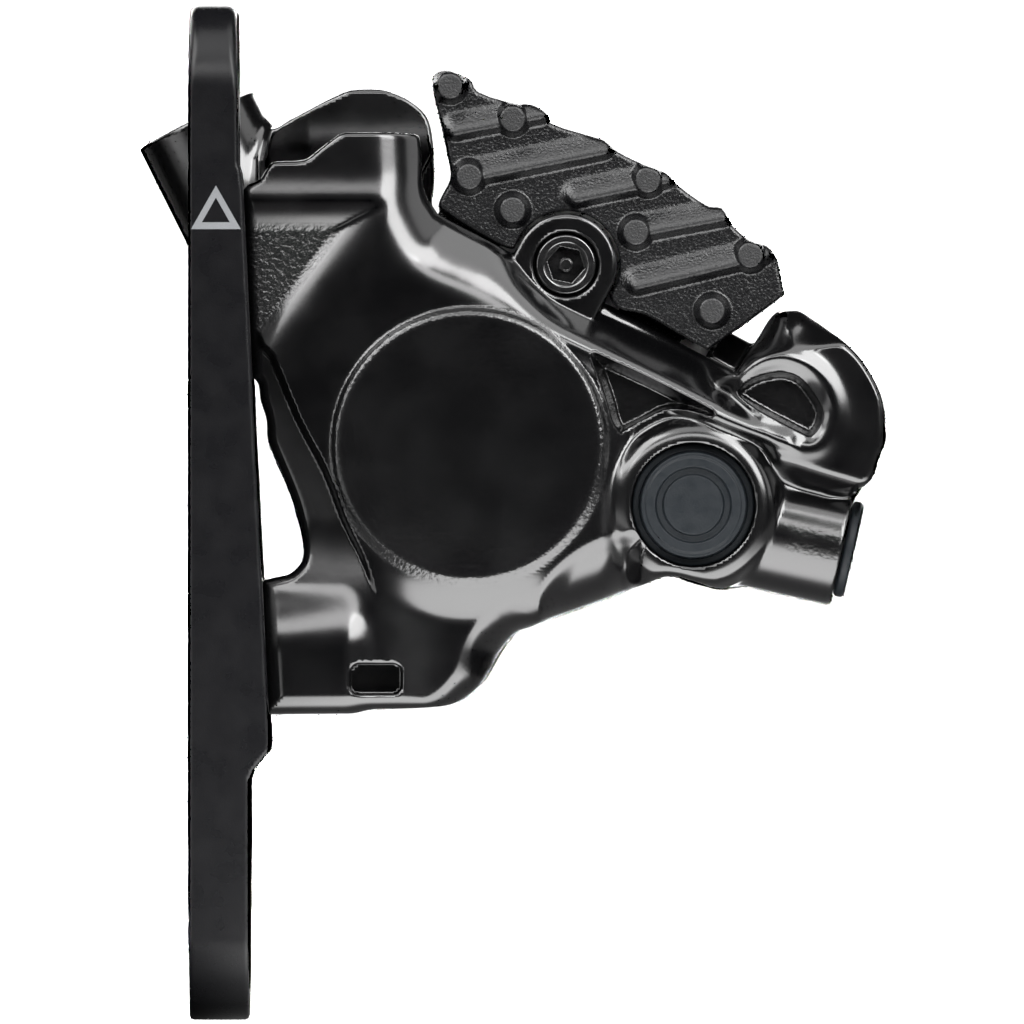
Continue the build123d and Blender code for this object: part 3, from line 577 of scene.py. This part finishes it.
def outboard(x, y, z):
    u = (x - RX) * ETX + (z - RZ) * ETZ
    r = (x - RX) * ERX + (z - RZ) * ERZ
    sd = L.read(OUT_SD, x, z)
    front = -y - L.read(OUT_H, x, z)
    rad = L.read(OUT_RAD, x, z)
    web = rmax(sd, front * 0.92, rad)
    web = rmax(web, y - 6.2, 0.5)
    # towers up to the split plane, on both sides of the pads
    towers = np.maximum(np.maximum(15.7 - np.abs(u), 62.0 - r), slab(y, 5.0, MID))
    towers = rmax(towers, sd, 0.8)
    bridge = np.maximum(box_ur(u, r, 15.7, 22.5, 84.0, 89.4, 0.8), slab(y, 4.6, MID))
    ledge = np.maximum(box_ur(u, r, 14.5, 16.4, 85.4, 89.0), slab(y, 11.6, MID))
    barrel = cyl_d(x, y, np.maximum(z, -12.5), (wedge(-12.15), 0, -12.5), (1.0, 0.0487), 5.95, -5.0, 9.0, 2.0)
    barrel = rmax(barrel, sd, 1.5)
    nip = cyl_d(x, y, z, NE, ND, 5.4, -13.5, 0.0, 0.35)
    body = smin(web, barrel, 1.6)
    body = np.minimum(body, towers)
    body = rmin(body, bridge, 0.4)
    body = smin(body, nip, 1.0)
    housing = np.maximum(cyl_y(x, z, PX, PZ, 14.6), slab(y, -1.5, 6.2))
    body = smin(body, housing, 0.8)
    dist = np.hypot(x - PX, z - PZ)
    body = rmin(body, rmax(dist - 12.60, slab(y, -6.18 + 0.0008 * dist * dist + 0.02 * (PZ + 12 - z), 3.0), 0.70), 0.30)
    # lug of the pad axle
    lug = np.minimum(cyl_y(x, z, AX, AZ, 4.7), box_ur(u, r, -4.7, 4.7, 80.0, 87.8))
    lug = rmax(lug, slab(y, -1.5, 5.4), 0.45)
    body = rmin(body, lug, 0.25)
    # hollows
    pocket = np.maximum(box_ur(u, r, -14.6, 14.6, 30.0, 81.2, 1.0), 6.2 - y)
    window = np.maximum(box_ur(u, r, -15.7, 15.7, 81.0, 130.0), 5.4 - y)
    body = cut(body, pocket, 0.25)
    body = cut(body, window, 0.25)
    body = cut(body, np.maximum(np.hypot(x - RX, z - RZ) - 81.8, (MID - 1.6) - y), 0.2)
    body = cut(body, np.maximum(cyl_y(x, z, PX, PZ, 11.03), -2.6 - y), 0.25)
    body = cut(body, np.maximum(cyl_y(x, z, PX, PZ, 12.9), slab(y, 2.2, 4.4)), 0.05)
    body = cut(body, np.maximum(cyl_y(x, z, BX, BZ, 5.66), y + 3.4), 0.16)
    body = cut(body, np.maximum(cyl_y(x, z, BX, BZ, 3.05), slab(y, -4.0, 2.1)), 0.1)
    body = cut(body, cyl_d(x, y, z, NE, ND, 3.9, -5.2, 3.0, 0.1), 0.2)
    body = cut(body, cyl_d(x, y, z, NE, ND, 2.52, -9.2, 0.0, 0.1), 0.1)
    body = cut(body, np.maximum(cyl_y(x, z, AX, AZ, 2.05), slab(y, -3.0, 9.0)), 0.1)
    body = cut(body, np.maximum(cyl_y(x, z, AX, AZ, 3.0), y + 0.3), 0.25)
    for bx, bz in ((16.5, 30.0), (57.5, 11.5)):
        body = cut(body, np.maximum(cyl_y(x, z, bx, bz, 3.02), 1.4 - y), 0.15)
    body = cut(body, np.maximum(cyl_y(x, z, 56.5, 4.0, 1.1), 5.2 - y), 0.1)
    for bz in (21.9, -12.1):
        body = cut(body, cyl_d(x, y, z, (wedge(bz), 0, bz), (0.99881, 0.04867), 2.52, -2.0, 12.2, 0.05), 0.15)
    # slot window in the foot
    sx = np.abs(x - 17.1) - 1.5
    sz = np.abs(z + 15.25) - 0.55
    slot_d = np.hypot(np.maximum(sx, 0), np.maximum(sz, 0)) + np.minimum(np.maximum(sx, sz), 0) - 0.85
    body = cut(body, np.maximum(slot_d, y + 2.2), 0.28)
    body = np.minimum(body, ledge)
    # flat faces against the plate and the other half
    body = np.maximum(body, y - MID)
    body = np.maximum(body, (wedge(z) - x) * 0.9988)
    return body


def grain_outboard(x, y, z, n):
    disc = np.hypot(x - PX, z - PZ)
    front = step(0.15, 0.45, -n[:, 1])
    w = 0.20 * (1 - step(12.6, 12.9, disc)) * front
    w = w + 0.45 * step(11.6, 12.1, disc) * (1 - step(12.7, 13.1, disc)) * front
    w = np.maximum(w, 1.0 * (1 - step(-0.3, 0.9, poly(x, z, TRIANGLE))) * (y < 0))
    w = np.maximum(w, 0.3 * (1 - step(-0.2, 0.25, poly(x, z, POCKET_D))) * (y < 0))
    w = np.maximum(w, 0.3 * (1 - step(-0.2, 0.25, poly(x, z, POCKET_F))) * (y < 0))
    # cast patch on the front of the nipple boss
    q = (x - NE[0]) * -ND[1] + (z - NE[2]) * ND[0]
    w = np.maximum(w, 0.35 * step(54.0, 55.5, x) * (1 - step(-0.2, 0.8, np.abs(q + 0.2) - 1.2)) * (y < 0))
    return w


coarse = 0.27
sculpt("body_outboard_cast", outboard, (4.2, -7.2, -19.2), (65.0, 13.6, 36.2), coarse, "caliper",
       ["caliper_body_outboard"], GLOSS, marks={"grain": grain_outboard})

# ============================================================ inboard half
ARC = [(PX + 13.8 * math.cos(math.radians(a)), PZ + 13.8 * math.sin(math.radians(a)))
       for a in (-40, -60, -80, -100, -120, -140, -160, -180, -195)]
INLINE = (
    [(6.6, 32.6), (7.25, 35.3), (7.8, 35.5), (9.2, 36.3), (10.55, 37.0), (11.9, 37.75), (13.3, 38.4), (14.7, 38.95),
     (17.4, 39.0), (18.8, 38.6), (20.2, 37.9), (21.6, 36.6), (22.1, 35.1), (22.3, 32.3), (22.3, 30.5), (22.1, 28.8),
     (22.5, 27.6), ur(-12.6, 86.4), ur(18.4, 86.4), (52.3, 16.3), (53.6, 18.2)]
    + RIGHT_END + [(58.0, 0.3), (50.5, -1.6)] + ARC + [(8.8, 19.0), (7.0, 27.0)]
)
IN_S = smooth(INLINE, corners={0, 17, 18}, sub=3)
IN_SD = poly(L.X, L.Z, IN_S)
# front of the upper block: leans back, with a facet in its middle
_b = 13.0 + 0.34 * step(33.4, 36.9, L.Z) + 0.05 * np.maximum(L.Z - 36.5, 0)
_b = _b + 0.09 * np.maximum(14.6 - L.X, 0) + 0.16 * np.maximum(10.8 - L.X, 0)
_b = np.where(L.Z < 29.0, 13.0, _b)
IN_FRONT = L.blur(_b, 0.25)


def inboard(x, y, z):
    u = (x - RX) * ETX + (z - RZ) * ETZ
    r = (x - RX) * ERX + (z - RZ) * ERZ
    sd = L.read(IN_SD, x, z)
    m = 2 * MID - y                       # mirror of the outboard side
    front = L.read(IN_FRONT, x, z) - y
    block = rmax(sd, y - 28.9, 1.6)
    block = rmax(block, front, 0.30)
    dist = np.hypot(x - PX, z - PZ)
    housing = rmax(dist - 14.6, slab(y, 19.8, 31.3), 0.9)
    disc = rmax(dist - 12.55, slab(y, 19.8, 32.2), 0.5)
    body = smin(block, housing, 0.8)
    body = np.minimum(body, disc)
    boss = cyl_d(x, y - 20.5, z, (HM[0], 0.0, HM[2]), HD, 5.9, -15.0, 0.0, 0.35)
    body = smin(body, boss, 1.6)
    # sloping top edge along the fins
    bevel = ((r - 84.5) * 0.841 + (m + 2.35) * -0.541)
    bevel = np.maximum(bevel, -0 * r)
    slope_cut = np.maximum(-(((r - 82.6) * 5.9 - (m + 5.3) * 3.8) / 7.02), np.maximum(-12.9 - u, u - 17.2))
    body = cut(body, np.maximum(slope_cut, m - 0.6), 0.3)
    lug = np.minimum(cyl_y(x, z, AX, AZ, 4.7), box_ur(u, r, -4.7, 4.7, 80.0, 87.8))
    lug = rmax(lug, slab(m, -1.5, 5.4), 0.35)
    body = rmin(body, lug, 0.5)
    bridge = np.maximum(box_ur(u, r, 15.7, 22.5, 84.0, 89.4, 0.8), slab(m, 4.6, MID))
    ledge = np.maximum(box_ur(u, r, 14.5, 16.4, 85.4, 89.0), slab(m, 11.6, MID))
    body = rmin(body, bridge, 0.4)
    pocket = np.maximum(box_ur(u, r, -14.6, 14.6, 30.0, 81.2, 1.0), 6.2 - m)
    window = np.maximum(box_ur(u, r, -15.7, 15.7, 81.0, 130.0), 5.4 - m)
    body = cut(body, pocket, 0.25)
    body = cut(body, window, 0.25)
    body = cut(body, np.maximum(np.hypot(x - RX, z - RZ) - 81.8, (MID - 1.6) - m), 0.2)
    body = np.minimum(body, ledge)
    arms = np.maximum(box_ur(u, r, -60.0, -16.0, 0.0, 57.0), 5.0 - m)
    body = cut(body, arms, 0.3)
    body = cut(body, np.maximum(cyl_y(x, z, PX, PZ, 11.03), -2.6 - m), 0.25)
    body = cut(body, np.maximum(cyl_y(x, z, PX, PZ, 12.9), slab(m, 2.2, 4.4)), 0.05)
    for bx, bz in ((16.5, 30.0), (57.5, 11.5)):
        body = cut(body, cyl_y(x, z, bx, bz, 3.25) + 0 * y, 0.15)
        body = cut(body, np.maximum(cyl_y(x, z, bx, bz, 5.3), 27.0 - y), 0.3)
    body = cut(body, np.maximum(cyl_y(x, z, 56.5, 4.0, 1.1), y - 21.8), 0.1)
    body = cut(body, cyl_d(x, y - 20.5, z, (HM[0], 0.0, HM[2]), HD, 3.65, -9.0, 3.0, 0.2), 0.35)
    body = cut(body, cyl_y(x, z, AX, AZ, 2.03) + 0 * y, 0.12)
    return np.maximum(body, MID - y)


def grain_inboard(x, y, z, n):
    return 0.35 * (np.hypot(x - PX, z - PZ) < 12.0) * (y > 30)


sculpt("body_inboard_cast", inboard, (-8.4, 12.6, -9.6), (64.4, 32.7, 41.6), coarse, "caliper",
       ["caliper_body_inboard"], GLOSS, marks={"grain": grain_inboard})

# ============================================================ finned cooling plates of the pads
FINLINE = smooth([
    (22.3, 40.0), (22.94, 40.5), (23.9, 40.5), (25.7, 39.7), (26.4, 38.6), (29.8, 37.5), (31.3, 37.4), (32.7, 36.6),
    (33.1, 35.7), (37.0, 34.45), (38.0, 34.1), (39.2, 33.1), (41.9, 31.8), (43.7, 31.1), (44.9, 29.9), (47.5, 28.1),
    (48.8, 27.9), (49.7, 26.4), (51.4, 24.9), (52.9, 24.45), (53.8, 23.3), (54.2, 21.5), (54.4, 20.4), (54.4, 19.95),
    (52.9, 18.76), (50.6, 17.1), (47.5, 14.9), (45.2, 16.2), (41.65, 18.2), (39.1, 18.85), (38.3, 20.8), (38.3, 23.3),
    (36.9, 25.6), (34.4, 26.3), (32.4, 25.4), (31.1, 24.45), (29.5, 24.2), (27.7, 24.9), (22.94, 27.9), (22.94, 28.7),
    (23.85, 30.5), (23.8, 32.1), (22.3, 39.0)], corners={26}, sub=3)
RIBS = [((24.3, 35.05), (32.3, 36.6)), ((25.6, 30.8), (37.9, 33.3)), ((35.4, 28.9), (43.6, 30.6)),
        ((40.9, 25.7), (48.9, 27.2)), ((41.0, 20.9), (52.6, 23.65))]
BUMPS = [(23.85, 39.1), (29.6, 36.1), (25.6, 30.8), (29.6, 27.75), (42.0, 30.5), (40.9, 25.7), (51.4, 23.6), (47.9, 18.5)]
LF = Lattice(21.0, 56.0, 13.5, 42.0, 0.08)


def fin_maps():
    x, z = LF.X, LF.Z
    h = np.full(x.shape, 0.5)
    for p, q in RIBS:
        d, t = line(x, z, [p, q])
        ln = math.hypot(q[0] - p[0], q[1] - p[1])
        side = ((x - p[0]) * -(q[1] - p[1]) + (z - p[1]) * (q[0] - p[0])) / ln      # > 0 above the rib
        reach = np.where(side > 0, 1.62, 1.00)
        start = np.where(side > 0, 0.05, 0.50)
        h = np.maximum(h, 0.45 + 1.15 * np.clip((reach - d) / (reach - start), 0, 1))
    h = LF.blur(h, 0.17)
    for bx, bz in BUMPS:
        d = np.hypot(x - bx, z - bz)
        h = np.maximum(h, 0.45 + 1.42 * np.clip((1.72 - d) / 0.55, 0, 1))
    return LF.blur(h, 0.075), poly(x, z, FINLINE)


FIN_H, FIN_SD = fin_maps()


def fin_side(x, m, z):
    u = (x - RX) * ETX + (z - RZ) * ETZ
    r = (x - RX) * ERX + (z - RZ) * ERZ
    sd = LF.read(FIN_SD, x, z)
    plate = rmax(sd, -m - LF.read(FIN_H, x, z), 0.38)
    plate = rmax(plate, m - 2.5, 0.3)
    plate = cut(plate, cyl_y(x, z, AX, AZ, 4.95) + 0 * m, 0.15)
    au = np.abs(u)
    web = np.maximum(np.maximum(6.2 - au, au - 12.6), np.maximum(87.2 - r, r - 89.2))
    web = rmax(web, slab(m, 1.5, 7.55), 0.2)
    flange = np.maximum(np.maximum(6.2 - au, au - 12.6), np.maximum(82.4 - r, r - 89.2))
    flange = rmax(flange, slab(m, 6.45, 7.55), 0.2)
    out = rmin(plate, rmin(web, flange, 0.5), 0.5)
    for s in (-9.4, 9.4):
        out = cut(out, np.maximum(np.hypot(u - s, r - 84.1) - 1.2, 5.0 - m), 0.05)
    return out


def grain_fin(x, y, z, n):
    # tops of the ribs and the pips
    return step(1.0, 1.5, -y) * step(0.5, 0.9, -n[:, 1])


fine = 0.16
sculpt("fin_outboard_cast", lambda x, y, z: fin_side(x, y, z), (21.6, -2.2, 14.1), (55.2, 7.9, 41.2), fine,
       "outboard_pad", ["outboard_pad_fin"], FIN, marks={"grain": grain_fin})
sculpt("fin_inboard_cast", lambda x, y, z: fin_side(x, 2 * MID - y, z), (21.6, 26.0 - 7.9, 14.1), (55.2, 28.2, 41.2),
       fine * 1.25, "inboard_pad", ["inboard_pad_fin"], FIN)

# ============================================================ mounting plate
SIDE = [(0, 46.5), (4.4, 46.5), (4.54, 31.9), (4.75, 31.2), (wedge(29.6), 29.6), (wedge(-20.9), -20.9), (7.3, -21.8),
        (6.6, -22.7), (5.87, -23.6), (5.5, -24.5), (5.5, -46.5), (0, -46.5)]


def side_x(z):
    """Right edge of the plate at height z, and its lean."""
    zs = [-46.5, -24.5, -23.6, -22.7, -21.8, -20.9, 29.6, 31.2, 31.9, 46.5]
    xs = [5.5, 5.5, 5.87, 6.6, 7.3, wedge(-20.9), wedge(29.6), 4.75, 4.54, 4.4]
    return np.interp(z, zs, xs)


def plate_field(x, y, z):
    ax_, az_ = np.abs(y) - (9.5 - 7.5), np.abs(z) - (46.5 - 7.5)
    face = np.hypot(np.maximum(ax_, 0), np.maximum(az_, 0)) + np.minimum(np.maximum(ax_, az_), 0) - 7.5
    right = (x - side_x(z)) * 0.93
    top = near(x * 0, z, 0, 46.5, 3.0, 9.0)
    ends = 0.085 * np.maximum(np.abs(z) - 42.4, 0) ** 2
    face = np.maximum(face, np.abs(y) - 9.5 + ends)
    body = rmax(face, np.maximum(-x, right) + 0 * y, 0.35 + 0.55 * top)
    body = rmax(body, np.maximum(-x, right), 0.0)
    for zc, seat in ((35.0, 2.6), (-35.0, 3.5)):
        slot_d = np.hypot(np.maximum(np.abs(y) - 2.0, 0), z - zc)
        body = cut(body, slot_d - 2.75 + 0 * x, 0.25)
        body = cut(body, np.maximum(slot_d - 4.6, seat - x), 0.25)
    for zc in (21.9, -12.1):
        p = (wedge(zc), 0, zc)
        body = cut(body, cyl_d(x, y, z, p, (0.99881, 0.04867), 2.7, -12.0, 3.0, 0.05), 0.12)
        body = cut(body, cyl_d(x, y, z, p, (0.99881, 0.04867), 4.5, -14.0, -(wedge(zc) - 0.35) + 2.5, 0.05), 0.25)
    return body


sculpt("plate_painted", plate_field, (-0.5, -9.9, -47.0), (8.0, 9.9, 47.0), 0.25, "caliper",
       ["mount_plate"], PLATE)

# ============================================================ small turned and moulded pieces
def bleed_cap(x, y, z):
    d = np.hypot(x - BX, z - BZ)
    # flat rim, a groove, a raised ring, a ring groove and the middle
    top = 3.95 + 1.3 * (1 - step(4.78, 4.98, d)) + 0.14 * (1 - step(4.30, 4.48, d))
    top = top - 0.40 * step(2.68, 2.86, d) * (1 - step(3.36, 3.52, d)) - 0.06 * (1 - step(2.6, 2.8, d))
    body = rmax(d - 5.6, -y - top, 0.22)
    body = rmax(body, y + 3.5, 0.1)
    return cut(body, np.maximum(d - 3.3, -4.3 - y), 0.1)


tiny = 0.09
sculpt("bleed_cap_moulded", bleed_cap, (40.2, -5.9, -5.3), (52.1, -3.1, 6.7), tiny, "bleed_screw_cap",
       ["bleed_screw_cap"], RUBBER)


def nipple_cap(x, y, z):
    rx, ry, rz = x - NE[0], y - NE[1], z - NE[2]
    t = rx * ND[0] + rz * ND[1]
    q = np.hypot(rx * -ND[1] + rz * ND[0], ry)
    disc = rmax(q - 4.45, slab(t, 0.05, 1.05), 0.38)
    skirt = rmax(q - 3.84, slab(t, -3.3, 0.4), 0.15)
    body = np.minimum(disc, skirt)
    return cut(body, np.maximum(q - 2.45, np.maximum(-4.0 - t, t + 0.2)), 0.1)


sculpt("nipple_cap_moulded", nipple_cap, (55.0, -3.9, -8.3), (62.6, 5.9, 2.2), tiny * 1.1, "bleed_nipple_cap",
       ["bleed_nipple_cap"], RUBBER)


def axle(x, y, z):
    d = np.hypot(x - AX, z - AZ)
    head = rmax(d - 2.75, slab(y, -1.25, -0.3), 0.22)
    shaft = rmax(d - 2.0, slab(y, -0.5, 30.0), 0.3)
    body = np.minimum(head, shaft)
    a = math.radians(12)
    hexd = 0 * x * z - 9
    for k in range(3):
        c, s_ = math.cos(a + math.pi / 6 + k * math.pi / 3), math.sin(a + math.pi / 6 + k * math.pi / 3)
        hexd = np.maximum(hexd, np.abs((x - AX) * c - (z - AZ) * s_) - 1.62)
    socket = np.maximum(hexd, y - 0.45)
    body = cut(body, socket, 0.08)
    mouth = (d - 2.05) + (y + 1.25) * 1.0
    body = cut(body, mouth, 0.06)
    pin = np.maximum(d - 0.55, slab(y, -0.1, 1.0))
    body = np.minimum(body, pin)
    groove = np.maximum(1.6 - d, slab(y, 28.2, 28.7))
    return cut(body, groove, 0.02)


sculpt("pad_axle_turned", axle, (AX - 3.0, -1.5, AZ - 3.0), (AX + 3.0, 30.3, AZ + 3.0), 0.085,
       "caliper", ["pad_axle"], DARK)

# plain triangle that marks the upper end of the plate
mark = bpy.data.meshes.new("up_triangle")
cx, cz, half, hgt = 2.48, 25.9, 2.28, 4.0
outer = [(cx - half, cz), (cx + half, cz), (cx, cz + hgt)]
mid = (cx, cz + hgt * 0.36)
inner = [(mid[0] + (p[0] - mid[0]) * 0.56, mid[1] + (p[1] - mid[1]) * 0.56) for p in outer]
y0, y1 = -9.515, -9.46
verts = [(p[0] * MM, y0 * MM, p[1] * MM) for p in outer + inner] + [(p[0] * MM, y1 * MM, p[1] * MM) for p in outer + inner]
faces = []
for i in range(3):
    j = (i + 1) % 3
    faces += [(i, j, 3 + j, 3 + i), (6 + j, 6 + i, 9 + i, 9 + j), (j, i, 6 + i, 6 + j), (3 + i, 3 + j, 9 + j, 9 + i)]
mark.from_pydata(verts, [], faces)
mark.update()
mark_obj = bpy.data.objects.new("up_triangle", mark)
scene.collection.objects.link(mark_obj)
mark.materials.append(paint("mark_grey", (0.055, 0.057, 0.060), 0.5, noise=((6000.0, 0.000004, 2.0),)))
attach(mark_obj, "caliper")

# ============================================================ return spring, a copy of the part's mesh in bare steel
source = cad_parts["pad_return_spring"]
spring = bpy.data.objects.new("pad_return_spring_folded", source.data.copy())
spring.matrix_world = source.matrix_world.copy()
scene.collection.objects.link(spring)
spring.data.materials.clear()
spring.data.materials.append(STEEL)
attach(spring, "caliper")
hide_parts("pad_return_spring")
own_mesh(spring)

# ============================================================ finish for the carried-over nodes
BY_SLOT = {
    "mount_plate": PLATE, "caliper_bolts": DARK, "body_bolts": DARK, "crossover_o_ring": SEAL,
    "caliper_body_inboard": GLOSS, "outboard_piston": RESIN, "inboard_piston": RESIN,
    "outboard_piston_seal": SEAL, "inboard_piston_seal": SEAL, "outboard_pad_backplate": STEEL,
    "inboard_pad_backplate": STEEL, "outboard_pad_lining": LINING, "inboard_pad_lining": LINING,
    "outboard_fin_rivets": STEEL, "inboard_fin_rivets": STEEL, "outboard_pad_fin": FIN, "inboard_pad_fin": FIN,
    "pad_return_spring": STEEL, "pad_axle": DARK, "axle_snap_ring": STEEL, "bleed_screw": DARK,
    "bleed_screw_seal": SEAL, "bleed_screw_cap": RUBBER, "bleed_nipple": STEEL, "bleed_nipple_cap": RUBBER,
}
for node, mat in BY_SLOT.items():
    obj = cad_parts[node]
    if not obj.material_slots:
        obj.data.materials.append(mat)
    for s in obj.material_slots:
        s.material = mat

# ============================================================ floor, lights, camera
mesh = bpy.data.meshes.new("floor")
F = 3.0
mesh.from_pydata([(-F, -F, -0.04665), (F, -F, -0.04665), (F, F, -0.04665), (-F, F, -0.04665)], [], [(0, 1, 2, 3)])
floor = bpy.data.objects.new("floor", mesh)
scene.collection.objects.link(floor)
m, nodes, links = new_mat("floor_pale")
out = nodes.new("ShaderNodeOutputMaterial")
b = nodes.new("ShaderNodeBsdfPrincipled")
b.inputs["Base Color"].default_value = (0.8, 0.8, 0.8, 1)
b.inputs["Roughness"].default_value = 0.9
b.inputs["Emission Color"].default_value = (1, 1, 1, 1)
b.inputs["Emission Strength"].default_value = 1.2
soft = nodes.new("ShaderNodeEmission")
where = nodes.new("ShaderNodeTexCoord")
split = nodes.new("ShaderNodeSeparateXYZ")
links.new(where.outputs["Object"], split.inputs["Vector"])
glow = nodes.new("ShaderNodeFloatCurve")
links.new(split.outputs["Y"], glow.inputs["Value"])
curve = glow.mapping.curves[0]
glow.mapping.clip_min_x, glow.mapping.clip_max_x = -1.0, 1.0
glow.mapping.clip_min_y, glow.mapping.clip_max_y = 0.0, 20.0
glow.mapping.use_clip = True
POINTS = [(-0.5, 0.02), (-0.17, 0.3), (-0.11, 5.0), (-0.06, 11.0), (-0.022, 11.0), (-0.008, 0.8), (0.02, 0.3), (0.10, 0.3),
          (0.14, 3.0), (0.45, 2.5), (0.6, 0.02)]
curve.points[0].location = POINTS[0]
curve.points[1].location = POINTS[-1]
for pt in POINTS[1:-1]:
    curve.points.new(*pt)
glow.mapping.update()
reach = nodes.new("ShaderNodeMapRange")
reach.interpolation_type = "SMOOTHSTEP"
for key, v in (("From Min", -0.001), ("From Max", 0.012), ("To Min", 0.05), ("To Max", 1.0)):
    reach.inputs[key].default_value = v
links.new(split.outputs["X"], reach.inputs["Value"])
reach2 = nodes.new("ShaderNodeMapRange")
reach2.interpolation_type = "SMOOTHSTEP"
for key, v in (("From Min", 0.078), ("From Max", 0.13), ("To Min", 1.0), ("To Max", 0.05)):
    reach2.inputs[key].default_value = v
links.new(split.outputs["X"], reach2.inputs["Value"])
both = nodes.new("ShaderNodeMath")
both.operation = "MULTIPLY"
links.new(reach.outputs["Result"], both.inputs[0])
links.new(reach2.outputs["Result"], both.inputs[1])
mul = nodes.new("ShaderNodeMath")
mul.operation = "MULTIPLY"
links.new(glow.outputs["Value"], mul.inputs[0])
links.new(both.outputs[0], mul.inputs[1])
links.new(mul.outputs[0], soft.inputs["Strength"])
path = nodes.new("ShaderNodeLightPath")
mixf = nodes.new("ShaderNodeMixShader")
links.new(path.outputs["Is Camera Ray"], mixf.inputs["Fac"])
links.new(soft.outputs["Emission"], mixf.inputs[1])
links.new(b.outputs["BSDF"], mixf.inputs[2])
links.new(mixf.outputs["Shader"], out.inputs["Surface"])
mesh.materials.append(m)

world = bpy.data.worlds.new("studio")
scene.world = world
world.use_nodes = True
nodes, links = world.node_tree.nodes, world.node_tree.links
nodes.clear()
wo = nodes.new("ShaderNodeOutputWorld")
seen = nodes.new("ShaderNodeBackground")
seen.inputs["Color"].default_value = (1, 1, 1, 1)
seen.inputs["Strength"].default_value = 1.2
lit = nodes.new("ShaderNodeBackground")
lit.inputs["Color"].default_value = (1, 1, 1, 1)
lit.inputs["Strength"].default_value = 0.02
path = nodes.new("ShaderNodeLightPath")
mixw = nodes.new("ShaderNodeMixShader")
links.new(path.outputs["Is Camera Ray"], mixw.inputs["Fac"])
links.new(lit.outputs["Background"], mixw.inputs[1])
links.new(seen.outputs["Background"], mixw.inputs[2])
links.new(mixw.outputs["Shader"], wo.inputs["Surface"])

TARGET = Vector((0.03, 0.0, 0.0))


def softbox(name, azimuth, elevation, dist, width, height, power):
    """Rectangular light seen from the target at that azimuth (0 = from the viewer, + = right) and elevation."""
    a, e = math.radians(azimuth), math.radians(elevation)
    d = Vector((math.sin(a) * math.cos(e), -math.cos(a) * math.cos(e), math.sin(e)))
    light = bpy.data.lights.new(name, "AREA")
    light.shape = "RECTANGLE"
    light.size, light.size_y = width, height
    # power so that the face's radiance is the given number
    light.energy = power * math.pi * width * height
    light.color = (1, 1, 1)
    obj = bpy.data.objects.new(name, light)
    obj.location = TARGET + d * dist
    obj.rotation_euler = (-d).to_track_quat("-Z", "Y").to_euler()
    obj.visible_camera = False
    scene.collection.objects.link(obj)
    return obj


softbox("overhead_front", -8, 28, 1.0, 1.2, 0.22, 11.0)
softbox("overhead", 28, 68, 0.9, 1.4, 0.6, 4.5)
softbox("key", 34, 30, 1.0, 0.42, 0.78, 20.0)
softbox("side_right", 78, 22, 1.0, 0.5, 0.6, 2.5)
softbox("left", -50, 5, 1.0, 0.25, 0.5, 7.0)
softbox("left_low", -45, -9, 0.2, 0.25, 0.03, 3.0)
softbox("left_top", -60, 42, 0.9, 0.7, 0.6, 13.0)
softbox("back", 178, 13, 1.3, 1.7, 0.45, 8.0)
softbox("back_left", -128, 24, 1.1, 0.5, 0.5, 4.0)

scene.view_settings.view_transform = "Standard"
scene.view_settings.look = "None"

cam_data = bpy.data.cameras.new("camera")
cam_data.sensor_width = 36.0
cam_data.lens = 36.0 * 2.5 / 0.09394
cam_data.clip_start = 0.1
cam_data.clip_end = 20.0
cam = bpy.data.objects.new("camera", cam_data)
cam.location = (0.02954, -2.5, 0.00005)
cam.rotation_euler = (math.pi / 2, 0, 0)
scene.collection.objects.link(cam)
scene.camera = cam
